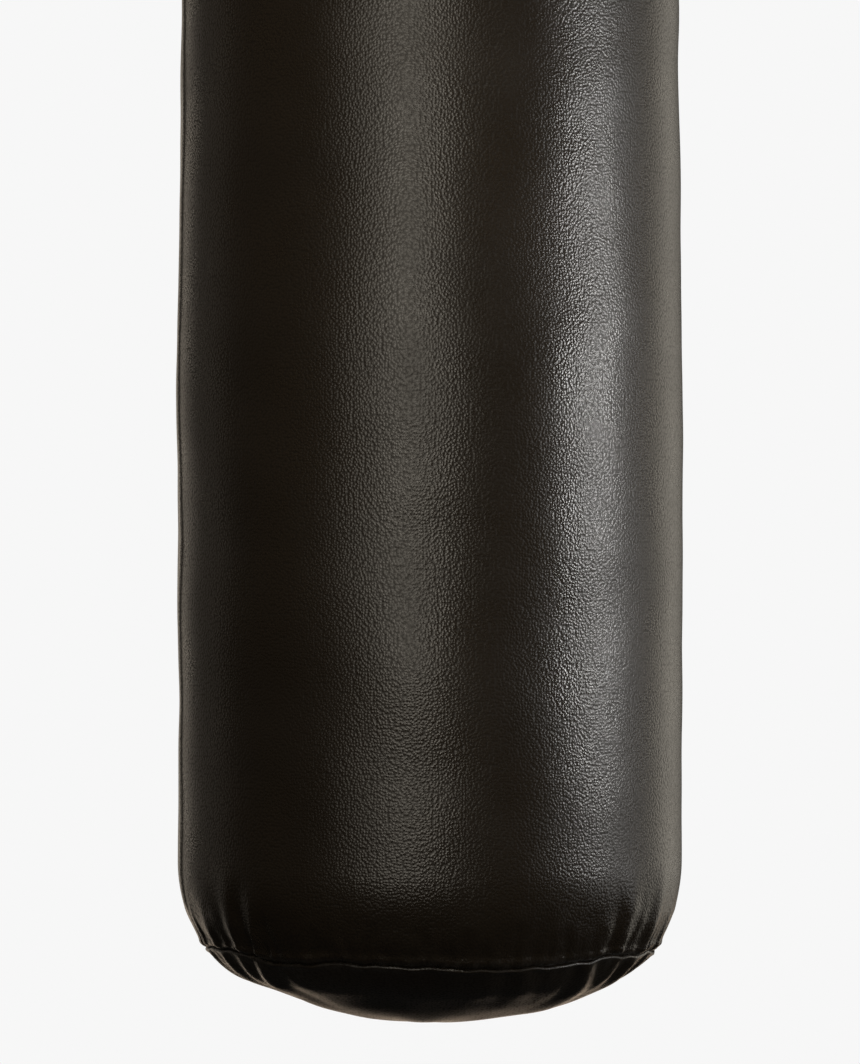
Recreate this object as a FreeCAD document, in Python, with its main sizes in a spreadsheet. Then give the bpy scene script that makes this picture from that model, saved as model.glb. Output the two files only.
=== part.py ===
"""Hanging heavy punching bag: ceiling swivel, carabiner, ring, four chains, leather bag and its inside.

Frame: millimetres, +Z up, origin at the centre of the ceiling plate's top face. The zip on the
bag's top runs along X and the bag's back seam is at -X. Everything hangs below z = 0.
"""
import FreeCAD, Part
import math
import os
import re

import Sketcher
from FreeCAD import Placement, Rotation, Vector

SIZES = [
    # ceiling plate and the U-shaped yoke welded under it
    ("plate_side", 110, "side of the square ceiling plate"),
    ("plate_thick", 6, "thickness of the ceiling plate"),
    ("plate_corner", 12, "corner radius of the ceiling plate"),
    ("bolt_spacing", 80, "spacing of the four ceiling bolts, both ways"),
    ("bolt_hole", 5.5, "radius of a ceiling bolt hole"),
    ("yoke_half", 36, "half the yoke's outer width"),
    ("yoke_thick", 6, "thickness of the yoke's bent strip"),
    ("yoke_depth", 56, "plate's underside to the top of the yoke's web"),
    ("yoke_wide", 45, "width of the yoke's strip"),
    ("bend_inner", 4, "inside radius of the yoke's bends"),
    # swivel: eye stem on a thrust ball bearing
    ("stem_radius", 7, "radius of the eye's stem"),
    ("stem_fit", 0.05, "running clearance of the stem"),
    ("race_inner", 7.5, "bore radius of the bearing's races"),
    ("race_outer", 14, "outer radius of the bearing's races"),
    ("race_thick", 3, "thickness of a race"),
    ("ball_radius", 2.38, "radius of a bearing ball"),
    ("ball_count", 12, "number of bearing balls"),
    ("ball_pitch", 10.75, "radius of the ring of balls"),
    ("ball_lift", 1.5, "ball centre above the race's face"),
    ("groove_radius", 2.43, "radius of the races' grooves"),
    ("cage_thick", 1.6, "thickness of the ball cage"),
    ("cage_inner", 7.9, "inner radius of the ball cage"),
    ("cage_outer", 13.6, "outer radius of the ball cage"),
    ("pocket_radius", 2.45, "radius of a pocket in the cage"),
    ("washer_thick", 2, "thickness of the washer under the nut"),
    ("nut_flats", 22, "castle nut across its flats"),
    ("nut_tall", 12, "height of the castle nut"),
    ("slot_wide", 3.4, "width of the nut's slots"),
    ("slot_deep", 4, "depth of the nut's slots"),
    ("pin_radius", 1.5, "radius of the split pin"),
    ("collar_radius", 11, "radius of the collar under the web"),
    ("collar_thick", 5, "thickness of the collar"),
    ("collar_gap", 1, "web's underside to the collar"),
    ("stem_proud", 3, "stem above the nut"),
    ("eye_sunk", 1.5, "how far the eye's wire is forged into the collar"),
    ("split_long", 30, "length of the split pin's shank"),
    ("split_end", 7, "length of the split pin's spread ends"),
    ("eye_major", 17, "eye: centre to the middle of its wire"),
    ("eye_wire", 6, "eye: radius of its wire"),
    # carabiner
    ("hang_gap", 0.3, "clearance where two curved hangers touch"),
    ("carabiner_wire", 5, "wire radius of the carabiner"),
    ("carabiner_half", 17, "half width between the wire's centres"),
    ("carabiner_long", 84, "crown to crown between the wire's centres"),
    ("carabiner_nose", 4, "straight stub over the gate"),
    ("carabiner_pin", 1.5, "radius of the gate's hinge pin"),
    # ring and chains
    ("ring_major", 30, "ring: centre to the middle of its wire"),
    ("ring_wire", 4.5, "ring: radius of its wire"),
    ("link_wire", 2.5, "radius of the chain's wire"),
    ("link_half", 7.75, "half width between a link's wire centres"),
    ("link_long", 35, "crown to crown between a link's wire centres"),
    ("link_count", 9, "links in each chain"),
    ("near_angle", 10, "place on the ring of the inner pair of chains, degrees from its lowest point"),
    ("far_angle", 26, "place on the ring of the outer pair of chains"),
    # snap hooks and D-rings
    ("hook_wire", 3, "wire radius of a snap hook"),
    ("hook_half", 11, "half width between the wire's centres"),
    ("hook_long", 56, "crown to crown between the wire's centres"),
    ("hook_nose", 3, "straight stub over the gate"),
    ("hook_pin", 1, "radius of the gate's hinge pin"),
    ("pin_press", 0.02, "radial clearance of a pin or rivet in the piece that it is fixed in"),
    ("pin_play", 0.05, "radial clearance of a pin in the piece that turns on it"),
    ("fork_play", 0.3, "gate's fork to the tang, on each side"),
    ("nose_gap", 0.21, "gate's tip to the nose, across and along"),
    ("dring_radius", 22, "D-ring: radius of the bow"),
    ("dring_leg", 4, "D-ring: straight leg from the bar to the bow"),
    ("dring_wire", 3, "D-ring: radius of the wire"),
    # leather bag, measured between its top and base seams
    ("bag_top", -561, "height of the top seam"),
    ("bag_tall", 1000, "top seam to base seam"),
    ("bag_radius", 175, "outer radius of the straight wall"),
    ("seam_radius", 156, "outer radius at both seams"),
    ("tuck_tall", 62, "height over which the wall draws in to a seam"),
    ("bulge", 50, "depth of the base panel below its seam"),
    ("leather", 2.5, "thickness of the leather"),
    # hanging tabs
    ("tab_thick", 5, "thickness of a tab, two plies"),
    ("tab_wide", 34, "width of a tab on the wall"),
    ("tab_low", 125, "top seam to the tab's lower end"),
    ("tab_lean", 24, "lean of the tab over the rim, degrees from upright"),
    ("tab_free", 44, "tab's length from the wall's curve to the D-ring's bar"),
    ("bar_bore", 3.5, "radius of the loop that holds the D-ring's bar"),
    ("skin_gap", 0.1, "tab to wall"),
    ("rivet_high", 80, "top seam to the upper rivet"),
    ("rivet_pitch", 28, "upper to lower rivet"),
    ("rivet_shank", 2, "radius of a rivet's shank"),
    ("rivet_head", 5, "radius of a rivet's head"),
    ("rivet_dome", 1.4, "height of a rivet's head"),
    ("rivet_burr", 1, "thickness of the burr inside the wall"),
    ("rivet_rest", 0.05, "head to tab, and burr to wall"),
    # zip on the top panel
    ("zip_long", 250, "length of the teeth"),
    ("zip_slot", 12, "width of the slot in the top panel"),
    ("tape_long", 270, "length of the zip's tapes"),
    ("tape_thick", 0.8, "thickness of a tape"),
    ("tape_edge", 3, "middle of the zip to the tape's inner edge"),
    ("tape_outer", 14, "middle of the zip to the tape's outer edge"),
    ("tooth_pitch", 3.2, "spacing of the teeth"),
    ("tooth_gap", 0.45, "half the gap between the two rows"),
    ("tooth_root", 2.2, "middle of the zip to the teeth's roots"),
    ("tooth_low", 1.6, "teeth below the panel's underside"),
    ("tooth_high", 0.8, "teeth above the panel's underside"),
    ("stop_long", 2.5, "length of a stop"),
    ("stop_gap", 0.2, "last tooth to the stops that end the closed zip"),
    ("tail_gap", 0.4, "last tooth to the stop at the open end"),
    ("slider_home", 117, "place of the slider when the zip is closed"),
    ("slider_long", 14, "length of the slider"),
    ("slider_wide", 10, "width of the slider"),
    ("slider_plate", 1.5, "thickness of the slider's plates"),
    ("slider_post", 0.4, "thickness of the post between the slider's plates"),
    ("slider_play", 0.25, "clearance of the slider's plates over the teeth"),
    ("lug_tall", 4, "height of the slider's lug"),
    ("lug_wide", 2.4, "width of the slider's lug"),
    ("pull_pin", 0.9, "radius of the pull's cross pin"),
    ("pull_play", 0.3, "pull's arms to the lug, on each side"),
    ("pull_long", 28, "length of the pull"),
    ("pull_wide", 9, "width of the pull"),
    ("pull_thick", 1.6, "thickness of the pull"),
    # inside
    ("liner_outer", 170.9, "outer radius of the liner"),
    ("liner_thick", 1, "thickness of the liner"),
    ("liner_floor", 2.3, "underside of the liner above the base seam"),
    ("foam_outer", 169.6, "outer radius of the foam wrap"),
    ("foam_inner", 145.6, "inner radius of the foam wrap"),
    ("inner_gap", 0.3, "clearance between the fillings"),
    ("base_foam_radius", 150, "radius of the foam cushion in the base"),
    ("top_foam_radius", 148, "radius of the foam disc under the top"),
    ("top_foam_thick", 40, "thickness of the foam disc under the top"),
    ("top_room", 6, "free height under the zip"),
    ("core_radius", 40, "radius of the sand core"),
]
ALIASES = {alias for alias, number, note in SIZES}
AZIMUTHS = (-45, 45, 135, 225)

doc = FreeCAD.newDocument("HeavyBag")
sheet = doc.addObject("Spreadsheet::Sheet", "Sizes")
for row, (alias, number, note) in enumerate(SIZES, start=1):
    sheet.set("A%d" % row, alias)
    sheet.set("B%d" % row, str(number))
    sheet.set("C%d" % row, note)
    sheet.setAlias("B%d" % row, alias)
doc.recompute()
nodes = []


# ---------------------------------------------------------------- helpers

def bound(formula):
    """The formula with each alias written as a reference to the sheet."""
    def reference(word):
        return "Sizes." + word.group() if word.group() in ALIASES else word.group()
    return re.sub(r"[a-z_]+", reference, formula)


def value(formula):
    """The formula's number, worked out by the sheet. Angles in it are degrees."""
    return float(sheet.evalExpression(bound(formula)))


def bind(piece, name, formula):
    piece.setExpression(name, bound(formula))


def place(piece, x="0", y="0", z="0", turn=Rotation()):
    """Puts a piece at a place whose coordinates are bound to the sheet."""
    piece.Placement = Placement(Vector(), turn)
    for axis, formula in zip("xyz", (x, y, z)):
        if formula != "0":
            bind(piece, "Placement.Base." + axis, formula)
    return piece


def node(piece, label):
    """Registers a finished piece as a node of its own."""
    piece.Label = label
    nodes.append(piece)
    return piece


def flat_sketch(body, role, name):
    plane = [item for item in body.Origin.OriginFeatures if item.Role == role][0]
    sketch = body.newObject("Sketcher::SketchObject", name)
    sketch.AttachmentSupport = [(plane, "")]
    sketch.MapMode = "FlatFace"
    return sketch


def fix_point(sketch, edge, end, x, y):
    """Holds one point of a sketch at two formulas."""
    for kind, formula, axis in (("DistanceX", x, -2), ("DistanceY", y, -1)):
        number = value(formula)
        if abs(number) < 1e-9:
            sketch.addConstraint(Sketcher.Constraint("PointOnObject", edge, end, axis))
        else:
            index = sketch.addConstraint(Sketcher.Constraint(kind, -1, 1, edge, end, number))
            bind(sketch, "Constraints[%d]" % index, formula)


def fix_radius(sketch, edge, formula):
    index = sketch.addConstraint(Sketcher.Constraint("Radius", edge, value(formula)))
    bind(sketch, "Constraints[%d]" % index, formula)


def arc_between(start, end, radius, side):
    """The short arc from start to end. side +1 goes round anticlockwise, -1 clockwise."""
    middle = (start + end) / 2
    chord = end - start
    normal = Vector(-chord.y, chord.x, 0).normalize() * side
    centre = middle + normal * math.sqrt(radius ** 2 - (chord.Length / 2) ** 2)
    circle = Part.Circle(centre, Vector(0, 0, 1), radius)
    first, last = (start, end) if side > 0 else (end, start)
    return Part.ArcOfCircle(circle, circle.parameter(first), circle.parameter(last))


def draw(sketch, corners):
    """A closed outline. A corner is (x, y), or (x, y, radius, side) when an arc arrives at it."""
    points = [Vector(value(corner[0]), value(corner[1]), 0) for corner in corners]
    starts = []
    ends = []
    for index, corner in enumerate(corners[1:] + corners[:1]):
        start = points[index]
        end = points[(index + 1) % len(points)]
        forward = len(corner) == 2 or corner[3] > 0
        starts.append(1 if forward else 2)
        ends.append(2 if forward else 1)
        if len(corner) == 2:
            sketch.addGeometry(Part.LineSegment(start, end), False)
        else:
            sketch.addGeometry(arc_between(start, end, value(corner[2]), corner[3]), False)
    for index, corner in enumerate(corners):
        after = (index + 1) % len(corners)
        joint = Sketcher.Constraint("Coincident", index, ends[index], after, starts[after])
        sketch.addConstraint(joint)
        fix_point(sketch, index, starts[index], corner[0], corner[1])
        if len(corner) == 4:
            fix_radius(sketch, (index - 1) % len(corners), corner[2])


def turned(label, corners, z="0", angle=""):
    """A body turned about Z from an outline in the XZ plane. With an angle it is centred on +X."""
    body = doc.addObject("PartDesign::Body", label)
    sketch = flat_sketch(body, "XZ_Plane", label + "_outline")
    draw(sketch, corners)
    turn = body.newObject("PartDesign::Revolution", label + "_turn")
    turn.Profile = sketch
    turn.ReferenceAxis = (sketch, ["V_Axis"])
    if angle:
        turn.Midplane = True
        bind(turn, "Angle", angle)
    place(body, z=z)
    return body


def padded(label, plane, corners, length, z="0", both_ways=False):
    """A body padded from an outline in one of its origin planes."""
    body = doc.addObject("PartDesign::Body", label)
    sketch = flat_sketch(body, plane, label + "_outline")
    draw(sketch, corners)
    pad = body.newObject("PartDesign::Pad", label + "_pad")
    pad.Profile = sketch
    bind(pad, "Length", length)
    if both_ways:
        pad.SideType = "Symmetric"
    place(body, z=z)
    return body


def drill(body, x, y, radius, count=1):
    """Round holes through a body along its Z, count of them evenly round the axis."""
    doc.recompute()
    solid_before = body.Shape.Volume
    sketch = flat_sketch(body, "XY_Plane", body.Name + "_hole")
    spot = Vector(value(x), value(y), 0)
    sketch.addGeometry(Part.Circle(spot, Vector(0, 0, 1), value(radius)), False)
    fix_point(sketch, 0, 3, x, y)
    fix_radius(sketch, 0, radius)
    pocket = body.newObject("PartDesign::Pocket", body.Name + "_drilled")
    pocket.Profile = sketch
    pocket.Type = "ThroughAll"
    pocket.SideType = "Symmetric"
    if count > 1:
        around(body, pocket, count)
    doc.recompute()
    if body.Shape.Volume > solid_before - 0.1:
        raise RuntimeError("no hole was cut in " + body.Label)


def around(body, feature, count):
    """Repeats a feature evenly round the body's Z axis."""
    axis = [item for item in body.Origin.OriginFeatures if item.Role == "Z_Axis"][0]
    pattern = body.newObject("PartDesign::PolarPattern", body.Name + "_around")
    pattern.Originals = [feature]
    pattern.Axis = (axis, [""])
    pattern.Angle = 360
    pattern.Occurrences = count
    body.Tip = pattern


def rectangle(x_low, x_high, y_low, y_high):
    return [(x_low, y_low), (x_high, y_low), (x_high, y_high), (x_low, y_high)]


def rounded_square(half, radius):
    """Outline of a square with round corners, anticlockwise."""
    near = "(%s - %s)" % (half, radius)
    return [
        ("-" + near, "-" + half, radius, 1),
        (near, "-" + half),
        (half, "-" + near, radius, 1),
        (half, near),
        (near, half, radius, 1),
        ("-" + near, half),
        ("-" + half, near, radius, 1),
        ("-" + half, "-" + near),
    ]


def cylinder(name, radius, length, x="0", y="0", z="0", turn=Rotation()):
    piece = doc.addObject("Part::Cylinder", name)
    bind(piece, "Radius", radius)
    bind(piece, "Height", length)
    return place(piece, x, y, z, turn)


def block(name, long_x, long_y, long_z, x="0", y="0", z="0", turn=Rotation()):
    piece = doc.addObject("Part::Box", name)
    bind(piece, "Length", long_x)
    bind(piece, "Width", long_y)
    bind(piece, "Height", long_z)
    return place(piece, x, y, z, turn)


def ball(name, radius, x="0", y="0", z="0"):
    piece = doc.addObject("Part::Sphere", name)
    bind(piece, "Radius", radius)
    return place(piece, x, y, z)


def torus(name, major, minor, x="0", y="0", z="0", turn=Rotation(), angle=360):
    piece = doc.addObject("Part::Torus", name)
    bind(piece, "Radius1", major)
    bind(piece, "Radius2", minor)
    piece.Angle3 = angle
    return place(piece, x, y, z, turn)


def fused(name, pieces):
    union = doc.addObject("Part::MultiFuse", name)
    union.Shapes = pieces
    return union


def cut(name, base, tool):
    difference = doc.addObject("Part::Cut", name)
    difference.Base = base
    difference.Tool = tool
    return difference


def ready_shape(label, shape, spot=Placement()):
    """A node whose shape no single feature makes, such as a group of equal solids."""
    piece = doc.addObject("Part::Feature", label)
    piece.Shape = shape
    piece.Placement = spot.multiply(shape.Placement)
    return node(piece, label)


ALONG_X = Rotation(Vector(0, 1, 0), 90)
ALONG_Y = Rotation(Vector(1, 0, 0), -90)
UPRIGHT_RING = Rotation(Vector(1, 0, 0), 90)
DOWN_RING = Rotation(Vector(1, 0, 0), -90)


# ---------------------------------------------------------------- ceiling mount

WEB_TOP = "(-plate_thick - yoke_depth)"
WEB_UNDER = "(-plate_thick - yoke_depth - yoke_thick)"


def make_ceiling_plate():
    body = padded("ceiling_plate", "XY_Plane", rounded_square("plate_side / 2", "plate_corner"),
                  "plate_thick", z="-plate_thick")
    drill(body, "bolt_spacing / 2", "bolt_spacing / 2", "bolt_hole", count=4)
    node(body, "ceiling_plate")


def make_yoke():
    """A strip bent into a U and welded under the plate, with the stem's bore in its web."""
    low = "(yoke_depth + yoke_thick)"
    outer = "(bend_inner + yoke_thick)"
    inside = "(yoke_half - yoke_thick)"
    corners = [
        ("-yoke_half", "0"),
        ("-yoke_half", "%s - %s" % (outer, low)),
        ("%s - yoke_half" % outer, "-" + low, outer, 1),
        ("yoke_half - " + outer, "-" + low),
        ("yoke_half", "%s - %s" % (outer, low), outer, 1),
        ("yoke_half", "0"),
        (inside, "0"),
        (inside, "bend_inner - yoke_depth"),
        (inside + " - bend_inner", "-yoke_depth", "bend_inner", -1),
        ("bend_inner - " + inside, "-yoke_depth"),
        ("-" + inside, "bend_inner - yoke_depth", "bend_inner", -1),
        ("-" + inside, "0"),
    ]
    body = padded("yoke", "XZ_Plane", corners, "yoke_wide", z="-plate_thick", both_ways=True)
    drill(body, "0", "0", "stem_radius + stem_fit")
    node(body, "yoke")


# ---------------------------------------------------------------- swivel

GROOVE_HALF = "sqrt(groove_radius^2 - ball_lift^2)"
CAGE_LEVEL = WEB_TOP + " + race_thick + ball_lift"
UPPER_RACE = WEB_TOP + " + race_thick + 2 * ball_lift"
WASHER_LEVEL = UPPER_RACE + " + race_thick"
NUT_LEVEL = WASHER_LEVEL + " + washer_thick"
STEM_TOP = NUT_LEVEL + " + nut_tall + stem_proud"
PIN_LEVEL = NUT_LEVEL + " + nut_tall - slot_deep / 2"
EYE_CENTRE = WEB_UNDER + " - collar_gap - collar_thick - eye_major - eye_wire + eye_sunk"


def make_races():
    lower = turned("lower_race", [
        ("race_inner", "0"),
        ("race_outer", "0"),
        ("race_outer", "race_thick"),
        ("ball_pitch + " + GROOVE_HALF, "race_thick"),
        ("ball_pitch - " + GROOVE_HALF, "race_thick", "groove_radius", -1),
        ("race_inner", "race_thick"),
    ], z=WEB_TOP)
    node(lower, "lower_race")
    upper = turned("upper_race", [
        ("stem_radius + stem_fit", "0"),
        ("ball_pitch - " + GROOVE_HALF, "0"),
        ("ball_pitch + " + GROOVE_HALF, "0", "groove_radius", -1),
        ("race_outer", "0"),
        ("race_outer", "race_thick"),
        ("stem_radius + stem_fit", "race_thick"),
    ], z=UPPER_RACE)
    node(upper, "upper_race")


def make_ball_cage():
    ring = rectangle("cage_inner", "cage_outer", "-cage_thick / 2", "cage_thick / 2")
    cage = turned("ball_cage", ring, z=CAGE_LEVEL)
    drill(cage, "ball_pitch", "0", "pocket_radius", count=int(value("ball_count")))
    node(cage, "ball_cage")
    balls = []
    for index in range(int(value("ball_count"))):
        around_z = math.radians(360 * index / value("ball_count"))
        centre = Vector(math.cos(around_z), math.sin(around_z), 0) * value("ball_pitch")
        balls.append(Part.makeSphere(value("ball_radius"), centre))
    level = Placement(Vector(0, 0, value(CAGE_LEVEL)), Rotation())
    ready_shape("bearing_balls", Part.makeCompound(balls), level)


def make_thrust_washer():
    ring = rectangle("stem_radius + stem_fit", "race_outer", "0", "washer_thick")
    node(turned("thrust_washer", ring, z=WASHER_LEVEL), "thrust_washer")


def make_castle_nut():
    wide = "(nut_flats / sqrt(3))"
    flat = "nut_flats / 2"
    hexagon = [
        (wide, "0"),
        (wide + " / 2", flat),
        ("-%s / 2" % wide, flat),
        ("-" + wide, "0"),
        ("-%s / 2" % wide, "-" + flat),
        (wide + " / 2", "-" + flat),
    ]
    body = padded("nut_blank", "XY_Plane", hexagon, "nut_tall")
    drill(body, "0", "0", "stem_radius + stem_fit")
    slots = []
    for index in range(3):
        spin = Rotation(Vector(0, 0, 1), 30 + 60 * index)
        slot = doc.addObject("Part::Box", "nut_slot")
        bind(slot, "Length", "3 * nut_flats")
        bind(slot, "Width", "slot_wide")
        bind(slot, "Height", "slot_deep + 1")
        corner = Vector(-1.5 * value("nut_flats"), -value("slot_wide") / 2, value("nut_tall - slot_deep"))
        slot.Placement = Placement(spin.multVec(corner), spin)
        slots.append(slot)
    nut = cut("castle_nut", body, fused("nut_slots", slots))
    node(place(nut, z=NUT_LEVEL), "castle_nut")


def make_eye_stem():
    """Stem, collar and eye forged in one, with the split pin's cross hole."""
    collar_low = WEB_UNDER + " - collar_gap - collar_thick"
    stem = cylinder("stem", "stem_radius", "(%s) - (%s)" % (STEM_TOP, collar_low), z=collar_low)
    collar = cylinder("collar", "collar_radius", "collar_thick", z=collar_low)
    eye = torus("eye", "eye_major", "eye_wire", z=EYE_CENTRE, turn=UPRIGHT_RING)
    hole = cylinder("pin_hole", "pin_radius + stem_fit", "6 * stem_radius",
                    y="-3 * stem_radius", z=PIN_LEVEL, turn=ALONG_Y)
    node(cut("eye_stem", fused("eye_blank", [stem, collar, eye]), hole), "eye_stem")


def make_cotter_pin():
    """Split pin through the nut's slots and the stem: ring head at -Y, spread ends at +Y."""
    shank = cylinder("pin_shank", "pin_radius", "split_long", y="-split_long / 2", turn=ALONG_Y)
    head = torus("pin_head", "pin_radius * 2", "pin_radius * 0.6",
                 y="-split_long / 2 - pin_radius * 2", turn=ALONG_X)
    ends = []
    for side in (-1, 1):
        lean = Rotation(Vector(0, 0, 1), -35 * side).multiply(ALONG_Y)
        ends.append(cylinder("pin_end", "pin_radius * 0.6", "split_end",
                             x="%d * pin_radius * 0.3" % side, y="split_long / 2 - 1", turn=lean))
    node(place(fused("cotter_pin", [shank, head] + ends), z=PIN_LEVEL), "cotter_pin")


# ---------------------------------------------------------------- snap hooks

def make_snap_hook(size, tail, spot, pins):
    """A wire hook with a sprung gate, in the size named by the sheet's size_ cells.

    Own frame: the crown's wire centre is the origin, the hook hangs along -Z in the XZ plane and
    its gate is on the +X side, hinged at its lower end about Y.
    """
    wire = size + "_wire"
    half = size + "_half"
    low_bow = "(%s - %s_long)" % (half, size)
    hinge = "(%s + %s + 1)" % (low_bow, wire)
    nose_end = "(-%s - %s_nose)" % (half, size)
    tang = "(0.7 * %s)" % wire
    pin = size + "_pin"

    body = fused(size + "_wire_shape", [
        torus("top_bow", half, wire, z="-" + half, turn=UPRIGHT_RING, angle=180),
        torus("low_bow", half, wire, z=low_bow, turn=DOWN_RING, angle=180),
        cylinder("back_leg", wire, "-%s - %s" % (half, low_bow), x="-" + half, z=low_bow),
        cylinder("nose", wire, "%s + %s_nose" % (wire, size), x=half, z=nose_end + " - " + wire),
        cylinder("shoulder", wire, "0.5", x=half, z=low_bow),
        block("tang", "1.7 * " + wire, tang, hinge + " - " + low_bow, x="%s - 0.85 * %s" % (half, wire),
              y="-%s / 2" % tang, z=low_bow),
        cylinder("tang_round", "0.85 * " + wire, tang, x=half, y="-%s / 2" % tang, z=hinge,
                 turn=ALONG_Y),
    ])
    slant = "0.8 * sqrt(2) * " + wire
    nose_cut = block("nose_cut", "3.2 * " + wire, "3 * " + wire, "2.5 * " + wire,
                     x="%s + %s" % (half, slant), y="-1.5 * " + wire, z="%s - %s" % (nose_end, slant),
                     turn=Rotation(Vector(0, 1, 0), 225))
    tang_hole = cylinder("tang_hole", pin + " + pin_press", "4 * " + wire, x=half, y="-2 * " + wire, z=hinge,
                         turn=ALONG_Y)
    hook = cut(size + "_body" + tail, body, fused("body_tools", [nose_cut, tang_hole]))
    hook.Placement = spot
    node(hook, size + "_body" + tail)

    blank = fused("gate_blank", [
        cylinder("gate_rod", wire, "%s + %s - %s" % (nose_end, wire, hinge), x=half, z=hinge),
        ball("gate_end", wire, x=half, z=hinge),
    ])
    tip_cut = block("tip_cut", "3.2 * " + wire, "3 * " + wire, "2.5 * " + wire,
                    x="%s - %s - nose_gap" % (half, slant), y="-1.5 * " + wire,
                    z="%s + %s - nose_gap" % (nose_end, slant), turn=Rotation(Vector(0, 1, 0), 45))
    fork = block("fork_slot", "3 * " + wire, tang + " + 2 * fork_play", "2.6 * " + wire,
                 x="%s - 1.5 * %s" % (half, wire), y="-%s / 2 - fork_play" % tang,
                 z="%s - 1.5 * %s" % (hinge, wire))
    gate_hole = cylinder("gate_hole", pin + " + pin_play", "4 * " + wire, x=half, y="-2 * " + wire, z=hinge,
                         turn=ALONG_Y)
    spring_low = "%s + %s" % (hinge, wire)
    bore = cylinder("spring_bore", "0.45 * " + wire, "3 * " + wire, x=half, z=spring_low)
    gate = cut(size + "_gate" + tail, blank, fused("gate_tools", [tip_cut, fork, gate_hole, bore]))
    gate.Placement = spot
    node(gate, size + "_gate" + tail)

    coil_radius = value("0.32 * " + wire)
    path = Part.makeHelix(value("0.36 * " + wire), value("2.6 * " + wire), coil_radius)
    ring = Part.Wire(Part.makeCircle(value("0.09 * " + wire), Vector(coil_radius, 0, 0), Vector(0, 1, 0)))
    coil = Part.Wire(path).makePipeShell([ring], True, True)
    coil.translate(Vector(value(half), 0, value(spring_low + " + 0.1 * " + wire)))
    ready_shape(size + "_spring" + tail, coil, spot)

    rivet = Part.makeCylinder(value(pin), value("1.9 * " + wire), Vector(0, -value("0.95 * " + wire), 0),
                              Vector(0, 1, 0))
    rivet.translate(Vector(value(half), 0, value(hinge)))
    rivet.Placement = spot.multiply(rivet.Placement)
    pins.append(rivet)


EYE_FLOOR = EYE_CENTRE + " - eye_major + eye_wire"
CARABINER_TOP = EYE_FLOOR + " + carabiner_wire + hang_gap"
CARABINER_FLOOR = CARABINER_TOP + " - carabiner_long + carabiner_wire"
RING_CENTRE = CARABINER_FLOOR + " + hang_gap + ring_wire - ring_major"


def make_carabiner():
    """The carabiner hangs in the YZ plane, its gate on the +Y side."""
    pins = []
    spot = Placement(Vector(0, 0, value(CARABINER_TOP)), Rotation(Vector(0, 0, 1), 90))
    make_snap_hook("carabiner", "", spot, pins)
    ready_shape("carabiner_pin", pins[0])


def make_master_ring():
    ring = torus("master_ring", "ring_major", "ring_wire", z=RING_CENTRE, turn=UPRIGHT_RING)
    node(ring, "master_ring")


# ---------------------------------------------------------------- chains, hooks and D-rings

TUCK_RADIUS = "(((bag_radius - seam_radius)^2 + tuck_tall^2) / (2 * (bag_radius - seam_radius)))"
TUCK_CENTRE = "(bag_radius - %s)" % TUCK_RADIUS


def tab_point(outward, along):
    """A point of a tab's straight stretch, in (radius, height over the top seam).

    outward is the distance from the tab's inner face and along the distance from the wall's curve.
    """
    reach = "(%s + skin_gap + %s)" % (TUCK_RADIUS, outward)
    radius = "%s + %s * cos(tab_lean) - (%s) * sin(tab_lean)" % (TUCK_CENTRE, reach, along)
    height = "%s * sin(tab_lean) + (%s) * cos(tab_lean) - tuck_tall" % (reach, along)
    return radius, height


def frame_of(origin, x_way, z_way):
    """A placement whose X and Z axes point the given ways."""
    return Placement(origin, Rotation(x_way, z_way.cross(x_way), z_way, "ZXY"))


def oval_link():
    """One chain link: crown to crown along Z, centred, lying in the XZ plane."""
    half = value("link_half")
    wire = value("link_wire")
    leg = value("link_long / 2 - link_half")
    parts = []
    for side in (1, -1):
        bow = Part.makeTorus(half, wire, Vector(0, 0, 0), Vector(0, 0, 1), 0, 360, 180)
        bow.rotate(Vector(), Vector(1, 0, 0), 90 * side)
        bow.translate(Vector(0, 0, leg * side))
        parts.append(bow)
        parts.append(Part.makeCylinder(wire, 2 * leg, Vector(half * side, 0, -leg)))
    return parts[0].fuse(parts[1:]).removeSplitter()


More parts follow.
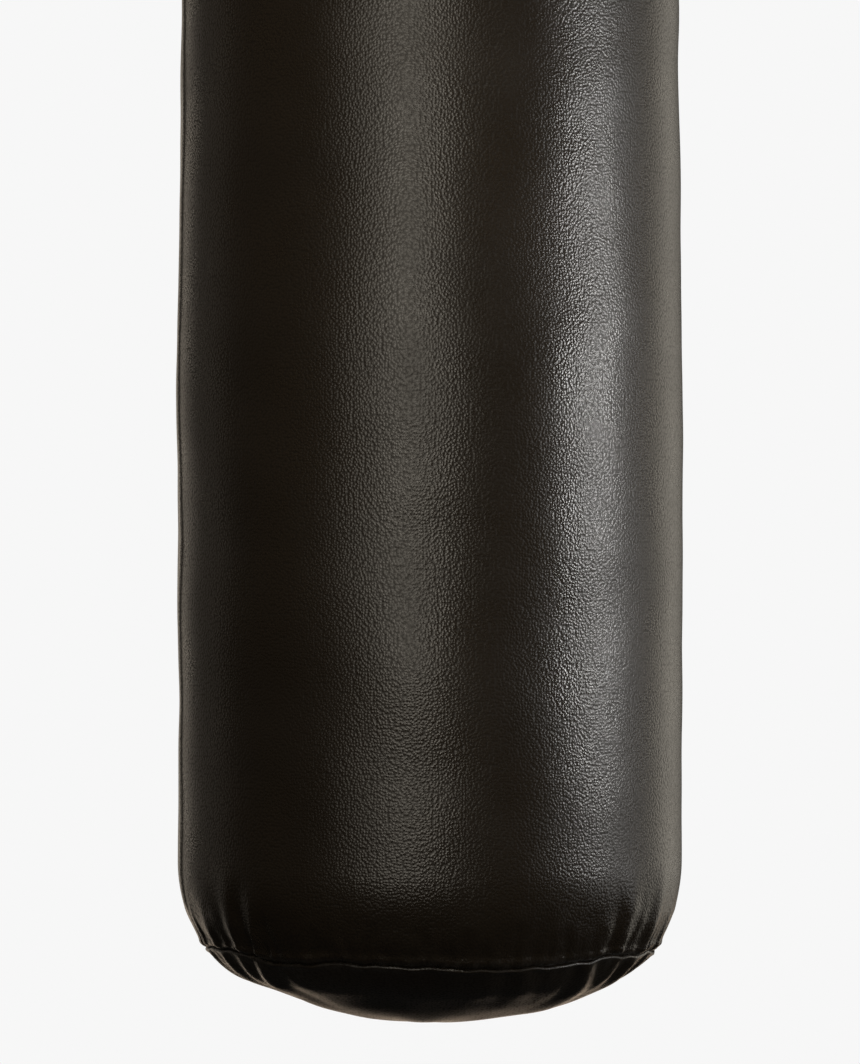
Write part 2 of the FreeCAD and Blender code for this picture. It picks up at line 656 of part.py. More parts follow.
def make_chain(index, azimuth, ring_angle, link, pins):
    """One chain from the ring to its D-ring, with the snap hook that joins them."""
    heading = math.radians(azimuth)
    radial = Vector(math.cos(heading), math.sin(heading), 0)
    tangent = Vector(-math.sin(heading), math.cos(heading), 0)
    swing = math.radians(ring_angle)
    ring_spot = Vector(math.sin(swing), 0, -math.cos(swing)) * value("ring_major")
    ring_spot.z += value(RING_CENTRE)
    ring_way = Vector(math.cos(swing), 0, math.sin(swing))

    bar_radius, bar_height = tab_point("tab_thick / 2", "tab_free")
    bar = radial * value(bar_radius) + Vector(0, 0, value(bar_height + " + bag_top"))
    to_ring = ring_spot - bar
    up = (to_ring - tangent * to_ring.dot(tangent)).normalize()
    bow_centre = bar + up * value("dring_leg")
    pull = (bow_centre - ring_spot).normalize()
    reach = (bow_centre - ring_spot).Length

    count = int(value("link_count"))
    slack = value("link_count * link_long + hook_long + dring_radius - ring_wire - 2 * link_wire"
                  " - 2 * (link_count - 1) * link_wire - 2 * hook_wire - dring_wire") - reach
    gap = slack / (count + 2)
    if not 0.1 < gap < 0.5:
        raise RuntimeError("chain %d doesn't close: gap %.3f mm" % (index, gap))

    first_side = pull.cross(ring_way).normalize()
    last_side = (tangent - pull * tangent.dot(pull)).normalize()
    twist = math.degrees(math.atan2(pull.dot(first_side.cross(last_side)), first_side.dot(last_side)))
    twist = (twist + 90) % 180 - 90
    links = []
    pitch = value("link_long - 2 * link_wire") - gap
    start = value("link_long / 2 - ring_wire - link_wire") - gap
    for step in range(count):
        spin = Rotation(pull, 90 * step + twist * step / (count - 1))
        side = spin.multVec(first_side)
        piece = link.copy()
        piece.Placement = frame_of(ring_spot + pull * (start + pitch * step), side, pull)
        links.append(piece)
    ready_shape("chain_%d" % index, Part.makeCompound(links))

    hook_reach = start + pitch * (count - 1) + value("link_long / 2 - link_wire - hook_wire") - gap
    outward = tangent.cross(pull).normalize()
    if outward.dot(radial) < 0:
        outward = -outward
    make_snap_hook("hook", "_%d" % index, frame_of(ring_spot + pull * hook_reach, outward, -pull), pins)

    ring = fused("d_ring_%d" % index, [
        torus("bow", "dring_radius", "dring_wire", z="dring_leg", turn=UPRIGHT_RING, angle=180),
        cylinder("left_leg", "dring_wire", "dring_leg", x="-dring_radius"),
        cylinder("right_leg", "dring_wire", "dring_leg", x="dring_radius"),
        ball("left_corner", "dring_wire", x="-dring_radius"),
        ball("right_corner", "dring_wire", x="dring_radius"),
        cylinder("bar", "dring_wire", "2 * dring_radius", x="-dring_radius", turn=ALONG_X),
    ])
    ring.Placement = frame_of(bar, tangent, up)
    node(ring, "d_ring_%d" % index)


def make_chains():
    link = oval_link()
    pins = []
    ring_angles = (value("near_angle"), value("far_angle"), -value("near_angle"), -value("far_angle"))
    for index, (azimuth, ring_angle) in enumerate(zip(AZIMUTHS, ring_angles), start=1):
        make_chain(index, azimuth, ring_angle, link, pins)
    ready_shape("hook_pins", Part.makeCompound(pins))


# ---------------------------------------------------------------- hanging tabs

def rivet_holes(name, radius, top):
    """Two radial cylinders at the rivets' heights, along +X."""
    holes = []
    for step in range(2):
        height = "%s - rivet_high - %d * rivet_pitch" % (top, step)
        holes.append(cylinder(name, radius, "40", x="bag_radius - 20", z=height, turn=ALONG_X))
    return holes


def make_hanging_tabs():
    """Leather tabs folded round the D-rings' bars, riveted and sewn to the wall."""
    loop = "(bar_bore + tab_thick / 2)"
    meet = "sqrt(%s^2 - (tab_thick / 2)^2)" % loop
    wall = "(bag_radius + skin_gap)"
    curve = "(%s + skin_gap)" % TUCK_RADIUS
    outer_curve = "(%s + skin_gap + tab_thick)" % TUCK_RADIUS
    inner_side = tab_point("0", "0")
    inner_loop = tab_point("0", "tab_free - " + meet)
    loop_top = tab_point("tab_thick / 2", "tab_free + " + loop)
    outer_loop = tab_point("tab_thick", "tab_free - " + meet)
    outer_side = tab_point("tab_thick", "0")
    corners = [
        (wall, "-tab_low"),
        (wall + " + tab_thick", "-tab_low"),
        (wall + " + tab_thick", "-tuck_tall"),
        outer_side + (outer_curve, 1),
        outer_loop,
        loop_top + (loop, 1),
        inner_loop + (loop, 1),
        inner_side,
        (wall, "-tuck_tall", curve, -1),
    ]
    bar_radius, bar_height = tab_point("tab_thick / 2", "tab_free")
    for index, azimuth in enumerate(AZIMUTHS, start=1):
        body = turned("tab_blank_%d" % index, corners, angle="2 * asin(tab_wide / (2 * bag_radius))")
        bar_hole = cylinder("bar_hole", "bar_bore", "2 * tab_wide", x=bar_radius, y="-tab_wide",
                            z=bar_height, turn=ALONG_Y)
        holes = rivet_holes("tab_hole", "rivet_shank + pin_press", "0")
        tab = cut("hanging_tab_%d" % index, body, fused("tab_tools", [bar_hole] + holes))
        place(tab, z="bag_top", turn=Rotation(Vector(0, 0, 1), azimuth))
        node(tab, "hanging_tab_%d" % index)


def make_tab_rivets():
    """Eight rivets: a domed head on the tab, a shank and a burr inside the wall."""
    inside = value("bag_radius - leather")
    outside = value("bag_radius + skin_gap + tab_thick")
    head = value("rivet_head")
    along_x = Vector(1, 0, 0)
    rest = value("rivet_rest")
    burr_thick = value("rivet_burr")
    burr_start = inside - burr_thick - rest
    shank_long = outside + 2 * rest - burr_start
    shank = Part.makeCylinder(value("rivet_shank"), shank_long, Vector(burr_start, 0, 0), along_x)
    burr = Part.makeCylinder(0.8 * head, burr_thick, Vector(burr_start, 0, 0), along_x)
    dome = Part.makeCone(head, 0.55 * head, value("rivet_dome"), Vector(outside + rest, 0, 0), along_x)
    rivet = shank.fuse([burr, dome]).removeSplitter()
    rivets = []
    for azimuth in AZIMUTHS:
        for step in range(2):
            piece = rivet.copy()
            piece.translate(Vector(0, 0, value("bag_top - rivet_high - %d * rivet_pitch" % step)))
            piece.rotate(Vector(), Vector(0, 0, 1), azimuth)
            rivets.append(piece)
    ready_shape("tab_rivets", Part.makeCompound(rivets))


# ---------------------------------------------------------------- leather

BASE = "(bag_top - bag_tall)"
CAP_RADIUS = "((seam_radius^2 + bulge^2) / (2 * bulge))"


def make_wall_leather():
    """The wall: straight, and drawn in by an arc towards both seams."""
    inner_seam = "(seam_radius - leather)"
    inner_wall = "(bag_radius - leather)"
    inner_arc = "(((%s - %s)^2 + tuck_tall^2) / (2 * (%s - %s)))" % (inner_wall, inner_seam,
                                                                  inner_wall, inner_seam)
    body = turned("wall_blank", [
        ("seam_radius", "0"),
        ("bag_radius", "tuck_tall", TUCK_RADIUS, 1),
        ("bag_radius", "bag_tall - tuck_tall"),
        ("seam_radius", "bag_tall", TUCK_RADIUS, 1),
        (inner_seam, "bag_tall"),
        (inner_wall, "bag_tall - tuck_tall", inner_arc, -1),
        (inner_wall, "tuck_tall"),
        (inner_seam, "0", inner_arc, -1),
    ])
    holes = []
    for azimuth in AZIMUTHS:
        pair = fused("wall_hole_pair", rivet_holes("wall_hole", "rivet_shank + pin_press", "bag_tall"))
        pair.Placement = Placement(Vector(), Rotation(Vector(0, 0, 1), azimuth))
        holes.append(pair)
    wall = cut("wall_leather", body, fused("wall_holes", holes))
    node(place(wall, z=BASE), "wall_leather")


def make_base_panel():
    """The round base panel, pushed out into a dome by the filling."""
    inner = "(%s - leather)" % CAP_RADIUS
    inner_seam = "(seam_radius - leather)"
    crown = "(%s - bulge)" % CAP_RADIUS
    lip = "%s - sqrt(%s^2 - %s^2)" % (crown, inner, inner_seam)
    body = turned("base_panel", [
        ("0", "-bulge"),
        ("seam_radius", "0", CAP_RADIUS, 1),
        (inner_seam, "0"),
        (inner_seam, lip),
        ("0", "leather - bulge", inner, -1),
    ], z=BASE)
    node(body, "base_panel")


def make_top_panel():
    """The flat top, with the slot that the zip closes."""
    disc = turned("top_disc", rectangle("0", "seam_radius", "0", "leather"))
    slot = block("zip_slot_tool", "zip_long + 6", "zip_slot", "4 * leather", x="-zip_long / 2 - 3",
                 y="-zip_slot / 2", z="-leather")
    node(place(cut("top_panel", disc, slot), z="bag_top"), "top_panel")


# ---------------------------------------------------------------- zip

def make_zip_tapes():
    strips = []
    for side in ("-tape_outer", "tape_edge"):
        strips.append(block("tape", "tape_long", "tape_outer - tape_edge", "tape_thick",
                            x="-tape_long / 2", y=side, z="-tape_thick"))
    tapes = doc.addObject("Part::Compound", "zip_tapes")
    tapes.Links = strips
    node(place(tapes, z="bag_top"), "zip_tapes")


def make_zip_teeth():
    """Two combs of teeth, one on each tape, set half a pitch apart."""
    pitch = value("tooth_pitch")
    end = value("zip_long / 2")
    root = value("tooth_root")
    tip = value("tooth_gap")
    combs = []
    for side in (1, -1):
        points = [Vector(end, value("tape_edge") * side, 0), Vector(-end, value("tape_edge") * side, 0)]
        x = -end + (pitch / 2 if side > 0 else 0)
        points.append(Vector(-end, root * side, 0))
        while x + pitch / 2 <= end - pitch / 2:
            points.append(Vector(x + 0.01, root * side, 0))
            points.append(Vector(x + 0.01, tip * side, 0))
            points.append(Vector(x + pitch / 2, tip * side, 0))
            points.append(Vector(x + pitch / 2, root * side, 0))
            x += pitch
        points.append(Vector(end, root * side, 0))
        face = Part.Face(Part.makePolygon(points + points[:1]))
        comb = face.extrude(Vector(0, 0, value("tooth_low + tooth_high")))
        comb.translate(Vector(0, 0, -value("tooth_low")))
        combs.append(comb)
    ready_shape("zip_teeth", Part.makeCompound(combs), Placement(Vector(0, 0, value("bag_top")), Rotation()))


def make_zip_stops():
    """Stops clamped on the tapes: one on each tape where the zip closes, one across where it opens."""
    tall = "tooth_low + tooth_high"
    pieces = []
    for side in ("tooth_gap", "-tape_edge"):
        pieces.append(block("stop", "stop_long", "tape_edge - tooth_gap", tall,
                            x="zip_long / 2 + stop_gap", y=side, z="-tooth_low"))
    pieces.append(block("bottom_stop", "stop_long", "2 * tape_edge", tall,
                        x="-zip_long / 2 - stop_long - tail_gap", y="-tape_edge", z="-tooth_low"))
    stops = doc.addObject("Part::Compound", "zip_stops")
    stops.Links = pieces
    node(place(stops, z="bag_top"), "zip_stops")


PLATE_OVER = "(tooth_high + slider_play)"
LUG_HOLE = "(tooth_high + slider_play + slider_plate + lug_tall / 2)"


def make_zip_slider():
    """Two plates round the teeth, a thin post between the rows and a lug for the pull."""
    plate = ("slider_long", "slider_wide", "slider_plate")
    corner = {"x": "-slider_long / 2", "y": "-slider_wide / 2"}
    under = "(-tooth_low - slider_play - slider_plate)"
    blank = fused("slider_blank", [
        block("slider_top", *plate, z=PLATE_OVER, **corner),
        block("slider_under", *plate, z=under, **corner),
        block("slider_post", "slider_long / 4", "slider_post", "%s - %s" % (PLATE_OVER, under),
              x="slider_long / 8", y="-slider_post / 2", z=under),
        block("slider_lug", "slider_long / 2", "lug_wide", "lug_tall", x="-slider_long / 4",
              y="-lug_wide / 2", z=PLATE_OVER + " + slider_plate"),
    ])
    hole = cylinder("lug_hole", "pull_pin + pin_play", "2 * slider_wide", y="-slider_wide", z=LUG_HOLE,
                    turn=ALONG_Y)
    node(place(cut("zip_slider", blank, hole), x="slider_home", z="bag_top"), "zip_slider")


def make_zip_pull():
    """A forked pull that lies towards the middle of the zip and turns over on its cross pin."""
    arm_from = "(lug_wide / 2 + pull_play)"
    arm_wide = "(pull_wide / 2 - 0.5 - %s)" % arm_from
    low = "-pull_thick / 2"
    arms = []
    for side in (arm_from, "-%s - %s" % (arm_from, arm_wide)):
        arms.append(block("pull_arm", "slider_long / 4 + 2.5", arm_wide, "pull_thick",
                          x="-slider_long / 4 - 1.5", y=side, z=low))
    pull = fused("zip_pull", arms + [
        block("pull_plate", "pull_long - slider_long / 4 - 1.2", "pull_wide", "pull_thick", x="-pull_long",
              y="-pull_wide / 2", z=low),
        cylinder("pull_cross_pin", "pull_pin", "pull_wide - 1.5", y="-pull_wide / 2 + 0.75",
                 turn=ALONG_Y),
    ])
    node(place(pull, x="slider_home", z="bag_top + " + LUG_HOLE), "zip_pull")


# ---------------------------------------------------------------- inside

def make_fillings():
    """From the skin inwards: liner sack, foam wrap, base and top foam, packed textile, sand core."""
    inner_radius = "(liner_outer - liner_thick)"
    inner_floor = "(liner_floor + liner_thick)"
    foot = "(%s + sqrt((liner_outer - %s)^2 - (tuck_tall - liner_floor)^2))" % (TUCK_CENTRE, TUCK_CENTRE)
    inner_foot = "(%s + sqrt((%s - %s)^2 - (tuck_tall - %s)^2))" % (TUCK_CENTRE, inner_radius,
                                                               TUCK_CENTRE, inner_floor)
    node(turned("liner", [
        ("0", "liner_floor"),
        (foot, "liner_floor"),
        ("liner_outer", "tuck_tall", "(liner_outer - %s)" % TUCK_CENTRE, 1),
        ("liner_outer", "bag_tall - tuck_tall"),
        (inner_radius, "bag_tall - tuck_tall"),
        (inner_radius, "tuck_tall"),
        (inner_foot, inner_floor, "(%s - %s)" % (inner_radius, TUCK_CENTRE), -1),
        ("0", inner_floor),
    ], z=BASE), "liner")

    node(turned("foam_wrap", rectangle("foam_inner", "foam_outer", "tuck_tall + 1",
                                       "bag_tall - tuck_tall - 1"), z=BASE), "foam_wrap")

    dome = "(%s - leather - inner_gap)" % CAP_RADIUS
    crown = "(%s - bulge)" % CAP_RADIUS
    rim = "%s - sqrt(%s^2 - base_foam_radius^2)" % (crown, dome)
    node(turned("base_foam", [
        ("0", "leather + inner_gap - bulge"),
        ("base_foam_radius", rim, dome, 1),
        ("base_foam_radius", "liner_floor - inner_gap"),
        ("0", "liner_floor - inner_gap"),
    ], z=BASE), "base_foam")

    disc_top = "(bag_tall - top_room)"
    disc_low = "(bag_tall - top_room - top_foam_thick)"
    node(turned("top_foam", rectangle("0", "top_foam_radius", disc_low, disc_top), z=BASE), "top_foam")

    fill_low = inner_floor + " + inner_gap"
    fill_top = disc_low + " - inner_gap"
    node(turned("textile_fill", rectangle("core_radius + inner_gap", "foam_inner - inner_gap",
                                          fill_low, fill_top), z=BASE), "textile_fill")
    node(turned("sand_core", rectangle("0", "core_radius", fill_low, fill_top), z=BASE), "sand_core")


make_ceiling_plate()
make_yoke()
make_races()
make_ball_cage()
make_thrust_washer()
make_castle_nut()
make_eye_stem()
make_cotter_pin()
make_carabiner()
make_master_ring()
make_chains()
make_hanging_tabs()
make_tab_rivets()
make_wall_leather()
make_base_panel()
make_top_panel()
make_zip_tapes()
make_zip_teeth()
make_zip_stops()
make_zip_slider()
make_zip_pull()
make_fillings()
doc.recompute()

for item in doc.Objects:
    if "Invalid" in item.State or "Error" in item.State:
        raise RuntimeError("%s is in a failed state: %s" % (item.Label, item.State))
for piece in nodes:
    if piece.Shape.isNull() or not piece.Shape.isValid():
        raise RuntimeError(piece.Label + " has no valid shape")

os.makedirs("parts", exist_ok=True)
for piece in nodes:
    piece.Shape.exportStep("parts/%s.step" % piece.Label)
print("%d nodes written" % len(nodes))
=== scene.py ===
"""Looks of the hanging heavy bag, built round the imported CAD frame. Metres, +Z up, -Y is the front.

Bearings are degrees round the bag seen from above: 0 is the front (-Y), 90 is +X, -90 is -X.
"""
import math
from collections import namedtuple

import bmesh
import bpy
import numpy as np
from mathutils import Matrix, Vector


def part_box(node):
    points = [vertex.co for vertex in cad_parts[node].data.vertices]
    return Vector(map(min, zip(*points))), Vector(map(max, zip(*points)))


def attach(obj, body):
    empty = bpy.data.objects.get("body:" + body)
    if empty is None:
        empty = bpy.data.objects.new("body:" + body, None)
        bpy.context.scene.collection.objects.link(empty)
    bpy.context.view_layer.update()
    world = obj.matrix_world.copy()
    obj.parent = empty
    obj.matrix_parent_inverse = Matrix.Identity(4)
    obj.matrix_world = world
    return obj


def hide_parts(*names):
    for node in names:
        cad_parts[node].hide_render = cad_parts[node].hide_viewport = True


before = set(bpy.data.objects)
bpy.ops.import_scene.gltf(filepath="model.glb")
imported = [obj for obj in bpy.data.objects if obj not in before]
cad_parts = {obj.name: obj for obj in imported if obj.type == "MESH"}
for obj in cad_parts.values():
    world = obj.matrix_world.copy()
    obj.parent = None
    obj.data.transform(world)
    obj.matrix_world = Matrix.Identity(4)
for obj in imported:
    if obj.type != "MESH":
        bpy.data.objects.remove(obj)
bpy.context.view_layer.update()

WALL_LOW, WALL_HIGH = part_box("wall_leather")
BASE_LOW, BASE_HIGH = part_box("base_panel")
TOP_LOW, TOP_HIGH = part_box("top_panel")
RADIUS = WALL_HIGH[0]                       # straight wall
SEAM_RADIUS = BASE_HIGH[0]                  # at both seams
BASE_SEAM = WALL_LOW[2]                     # height of the base seam
TOP_SEAM = WALL_HIGH[2]                     # height of the top seam
TALL = TOP_SEAM - BASE_SEAM
BULGE = BASE_SEAM - BASE_LOW[2]             # depth of the domed base
TUCK = 0.062                                # height over which the wall draws in to a seam
DRAWN_IN = RADIUS - SEAM_RADIUS
TUCK_BEND = (DRAWN_IN ** 2 + TUCK ** 2) / (2 * DRAWN_IN)    # radius of the tuck's arc, seen from the side
TOP_THICK = TOP_HIGH[2] - TOP_LOW[2]
ZIP_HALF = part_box("zip_teeth")[1][0]
ZIP_SLOT_HALF = 0.006                       # half the width of the top panel's slot
INNER_RADII = {"foam_wrap": 0.1456, "textile_fill": 0.0403}
TAB_BEARINGS = (45, 135, -135, -45)         # of the hanging tabs 1 to 4
SEAM_HEM = 0.0075                           # how far the panels' edges are turned in at a seam

# A fold starts at a seam at its bearing and leans by so many degrees over its length; metres otherwise
Fold = namedtuple("Fold", "bearing lean length width depth")


# ---------------------------------------------------------------- camera, light and stage

CAMERA_DISTANCE = 3.7
CAMERA_RISE = 0.3402                        # camera over the bag's lowest point
PICTURE_TALL = 0.7403                       # height of the picture at the bag's axis


def make_camera():
    data = bpy.data.cameras.new("camera")
    data.sensor_width = 36
    data.lens = data.sensor_width * CAMERA_DISTANCE / PICTURE_TALL
    camera = bpy.data.objects.new("camera", data)
    bpy.context.collection.objects.link(camera)
    camera.location = (0, -CAMERA_DISTANCE, BASE_LOW[2] + CAMERA_RISE)
    camera.rotation_euler = (math.pi / 2, 0, 0)
    bpy.context.scene.camera = camera


def softbox(name, place, towards, width, height, radiance, colour):
    """A gridded softbox: an area light of a given brightness that faces a direction."""
    data = bpy.data.lights.new(name, "AREA")
    data.shape = "RECTANGLE"
    data.size = width
    data.size_y = height
    data.energy = radiance * math.pi * width * height
    data.color = colour
    data.spread = math.radians(BOX_SPREAD)
    lamp = bpy.data.objects.new(name, data)
    bpy.context.collection.objects.link(lamp)
    lamp.location = place
    lamp.rotation_euler = towards.to_track_quat("-Z", "Y").to_euler()
    lamp.visible_camera = False


def highlight(name, seen_at, seen_wide, distance, low, high, radiance, colour):
    """A softbox that the camera sees mirrored in the wall at the bearing seen_at.

    seen_wide is the highlight's width in degrees of bearing; low and high are the box's ends,
    measured from the camera's level.
    """
    eye = bpy.context.scene.camera.location
    turn = math.radians(seen_at)
    spot = Vector((math.sin(turn) * RADIUS, -math.cos(turn) * RADIUS, eye.z))
    outward = Vector((math.sin(turn), -math.cos(turn), 0))
    towards_eye = (eye - spot).normalized()
    mirrored = 2 * outward * outward.dot(towards_eye) - towards_eye
    place = spot + mirrored * distance + Vector((0, 0, (low + high) / 2))
    width = math.radians(2 * seen_wide) * distance
    softbox(name, place, -mirrored, width, high - low, radiance, colour)


BOX_SPREAD = 55
WARM = (1.0, 0.93, 0.80)
NEUTRAL = (1.0, 0.985, 0.965)
AMBER = (1.0, 0.87, 0.71)
BOUNCE = (1.0, 0.78, 0.58)


def make_light():
    highlight("key_left", -1.7, 4.6, 2.4, 0.05, 1.25, 0.48, WARM)
    highlight("key_left_tall", -1.7, 4.6, 2.4, -0.36, 1.25, 0.48, WARM)
    highlight("key_left_wide", -8.5, 12.5, 2.4, -0.36, 1.25, 0.22, WARM)
    highlight("strip_right", 38.0, 3.3, 1.6, -0.12, 0.37, 3.8, NEUTRAL)
    highlight("fill_right", 47, 12, 1.7, -0.75, 0.8, 0.17, NEUTRAL)
    highlight("rim_right", 68, 18, 1.9, -1.0, 1.0, 0.125, WARM)
    highlight("side_left", -60, 10, 2.2, -1.1, 1.1, 0.022, AMBER)
    highlight("rim_left", -78, 12, 2.2, -1.1, 1.1, 0.070, AMBER)
    eye_level = bpy.context.scene.camera.location.z
    softbox("back", Vector((0, 2.4, eye_level + 0.3)), Vector((0, -1, 0)), 0.5, 1.8, 1.6, NEUTRAL)
    place = Vector((-0.2, 1.25, BASE_LOW[2] - 0.28))
    softbox("low_back", place, Vector((0, -1, 0.2)), 3.0, 0.36, 0.13, BOUNCE)
    place = Vector((0, -1.5, eye_level + 1.8))
    softbox("top_front", place, Vector((0, 1.5, -1.8)), 1.6, 0.6, 1.0, WARM)
    above = bpy.data.lights.new("overhead", "AREA")
    above.shape = "DISK"
    above.size = 1.6
    above.energy = 34
    lamp = bpy.data.objects.new("overhead", above)
    bpy.context.collection.objects.link(lamp)
    lamp.location = (0, 0, 1.3)
    lamp.visible_camera = False
    world = bpy.data.worlds.new("studio")
    bpy.context.scene.world = world
    world.use_nodes = True
    nodes = world.node_tree.nodes
    links = world.node_tree.links
    nodes.clear()
    path = nodes.new("ShaderNodeLightPath")
    dim = nodes.new("ShaderNodeBackground")
    dim.inputs["Color"].default_value = (1.0, 0.96, 0.92, 1)
    dim.inputs["Strength"].default_value = 0.03
    pale = nodes.new("ShaderNodeBackground")
    pale.inputs["Color"].default_value = (0.93, 0.93, 0.93, 1)
    mix = nodes.new("ShaderNodeMixShader")
    out = nodes.new("ShaderNodeOutputWorld")
    links.new(path.outputs["Is Camera Ray"], mix.inputs[0])
    links.new(dim.outputs[0], mix.inputs[1])
    links.new(pale.outputs[0], mix.inputs[2])
    links.new(mix.outputs[0], out.inputs["Surface"])
    bpy.context.scene.view_settings.view_transform = "Standard"


def make_floor():
    """A plain pale floor well under the hanging bag."""
    mesh = bpy.data.meshes.new("floor")
    shape = bmesh.new()
    bmesh.ops.create_circle(shape, cap_ends=True, segments=128, radius=7)
    shape.to_mesh(mesh)
    shape.free()
    floor = bpy.data.objects.new("floor", mesh)
    bpy.context.collection.objects.link(floor)
    floor.location = (0, 0, BASE_LOW[2] - 0.9)
    mesh.materials.append(floor_paint())


# ---------------------------------------------------------------- materials

class Recipe:
    """A node material with a Principled shader and short ways to add nodes."""

    def __init__(self, name, colour, roughness, metallic=0.0, space="Object"):
        self.material = bpy.data.materials.new(name)
        self.material.use_nodes = True
        self.tree = self.material.node_tree
        self.shader = self.tree.nodes["Principled BSDF"]
        self.shader.inputs["Base Color"].default_value = (*colour, 1)
        self.shader.inputs["Roughness"].default_value = roughness
        self.shader.inputs["Metallic"].default_value = metallic
        self.place = self.add("ShaderNodeTexCoord").outputs[space]
        self.normal = None

    def add(self, kind, inputs=None, **settings):
        node = self.tree.nodes.new(kind)
        for name, value in settings.items():
            setattr(node, name, value)
        for name, value in (inputs or {}).items():
            self.feed(node.inputs[name], value)
        return node

    def feed(self, socket, value):
        if isinstance(value, bpy.types.NodeSocket):
            self.tree.links.new(value, socket)
        else:
            socket.default_value = value

    def noise(self, scale, detail=3.0, roughness=0.5, place=None):
        return self.add("ShaderNodeTexNoise", {"Vector": place or self.place, "Scale": scale,
                                               "Detail": detail, "Roughness": roughness}).outputs["Fac"]

    def cells(self, scale):
        """Cells of the size 1 / scale in space."""
        return self.add("ShaderNodeTexVoronoi", {"Vector": self.place, "Scale": scale})

    def pebbles(self, pitch, place):
        """Rounded cells on the flat; the result is the distance from their middles."""
        return self.add("ShaderNodeTexVoronoi", voronoi_dimensions="2D", feature="SMOOTH_F1",
                        inputs={"Vector": place, "Scale": 1.0 / pitch, "Smoothness": 0.5,
                                "Randomness": 0.85}).outputs["Distance"]

    def span(self, value, low, high, out_low=0.0, out_high=1.0):
        """Maps low..high smoothly to out_low..out_high."""
        node = self.add("ShaderNodeMapRange", interpolation_type="SMOOTHSTEP",
                        inputs={"Value": value, "From Min": low, "From Max": high,
                                "To Min": out_low, "To Max": out_high})
        return node.outputs["Result"]

    def maths(self, operation, first, second):
        node = self.add("ShaderNodeMath", operation=operation)
        self.feed(node.inputs[0], first)
        self.feed(node.inputs[1], second)
        return node.outputs[0]

    def blend(self, amount, first, second):
        """Colour between two colours."""
        node = self.add("ShaderNodeMix", data_type="RGBA")
        self.feed(node.inputs[0], amount)
        for socket, colour in ((node.inputs[6], first), (node.inputs[7], second)):
            self.feed(socket, colour if isinstance(colour, bpy.types.NodeSocket) else (*colour, 1))
        return node.outputs[2]

    def warped(self, scale, amount):
        """The coordinates, pushed about by noise."""
        noise = self.add("ShaderNodeTexNoise", {"Vector": self.place, "Scale": scale, "Detail": 2.0})
        push = self.add("ShaderNodeVectorMath", operation="MULTIPLY_ADD")
        self.feed(push.inputs[0], noise.outputs["Color"])
        push.inputs[1].default_value = (amount, amount, amount)
        self.feed(push.inputs[2], self.place)
        return push.outputs[0]

    def colour(self, value):
        self.feed(self.shader.inputs["Base Color"], value)

    def rough(self, value):
        self.feed(self.shader.inputs["Roughness"], value)

    def bump(self, height, distance, strength=1.0):
        """Adds a layer of bump on top of the ones before it."""
        node = self.add("ShaderNodeBump", {"Height": height, "Distance": distance,
                                           "Strength": strength})
        if self.normal is not None:
            self.feed(node.inputs["Normal"], self.normal)
        self.normal = node.outputs["Normal"]
        self.feed(self.shader.inputs["Normal"], self.normal)


def shade(colour, factor):
    return tuple(factor * part for part in colour)


LEATHER = (0.0130, 0.0092, 0.0056)


def pebbled_leather(name, pebble=0.0020, depth=0.00025, roughness=0.28, worn_level=None):
    """Finished cowhide, mapped in metres: domed pebbles between creases that the bump sinks and whose
    colour is painted darker as shade, and a worn sheen.

    worn_level is the height of an edge along which the finish is rubbed.
    """
    recipe = Recipe(name, LEATHER, roughness, space="UV")
    cell = recipe.pebbles(pebble, recipe.warped(0.35 / pebble, 0.5 * pebble))
    recipe.bump(recipe.maths("SUBTRACT", 0.6, cell), depth)
    recipe.bump(recipe.noise(0.30 / pebble, 2.0, 0.5), 0.35 * depth)
    recipe.bump(recipe.noise(3.2 / pebble, 3.0, 0.6), 0.05 * depth, 0.8)
    top = recipe.span(cell, 0.62, 0.36)
    tone = recipe.span(recipe.noise(9, 3.0), 0.3, 0.7)
    body = recipe.blend(tone, LEATHER, shade(LEATHER, 1.3))
    # painted shade: the creases between the pebbles are coloured 0.92 as bright as the pebble tops, where
    # the relief would shade them
    skin = recipe.blend(top, shade(LEATHER, 0.92), body)
    shine = recipe.span(top, 0.0, 1.0, roughness + 0.10, roughness)
    wear = recipe.span(recipe.noise(14, 4.0, 0.6), 0.25, 0.75, 0.035, -0.035)
    if worn_level is not None:
        level = recipe.add("ShaderNodeSeparateXYZ")
        recipe.feed(level.inputs[0], recipe.add("ShaderNodeTexCoord").outputs["Object"])
        away = recipe.maths("ABSOLUTE", recipe.maths("SUBTRACT", level.outputs["Z"], worn_level), 0.0)
        rubbed = recipe.maths("MULTIPLY", recipe.span(away, 0.007, 0.0),
                              recipe.span(recipe.noise(110, 3.0), 0.42, 0.62, 0.0, 0.6))
        skin = recipe.blend(rubbed, skin, (0.030, 0.026, 0.022))
    recipe.colour(skin)
    recipe.rough(recipe.maths("ADD", shine, wear))
    # painted shade on the reflection: the creases get a lower specular level than the pebble tops
    recipe.feed(recipe.shader.inputs["Specular IOR Level"], recipe.span(top, 0.0, 1.0, 0.42, 0.55))
    return recipe.material


GRIME = (0.20, 0.18, 0.16)


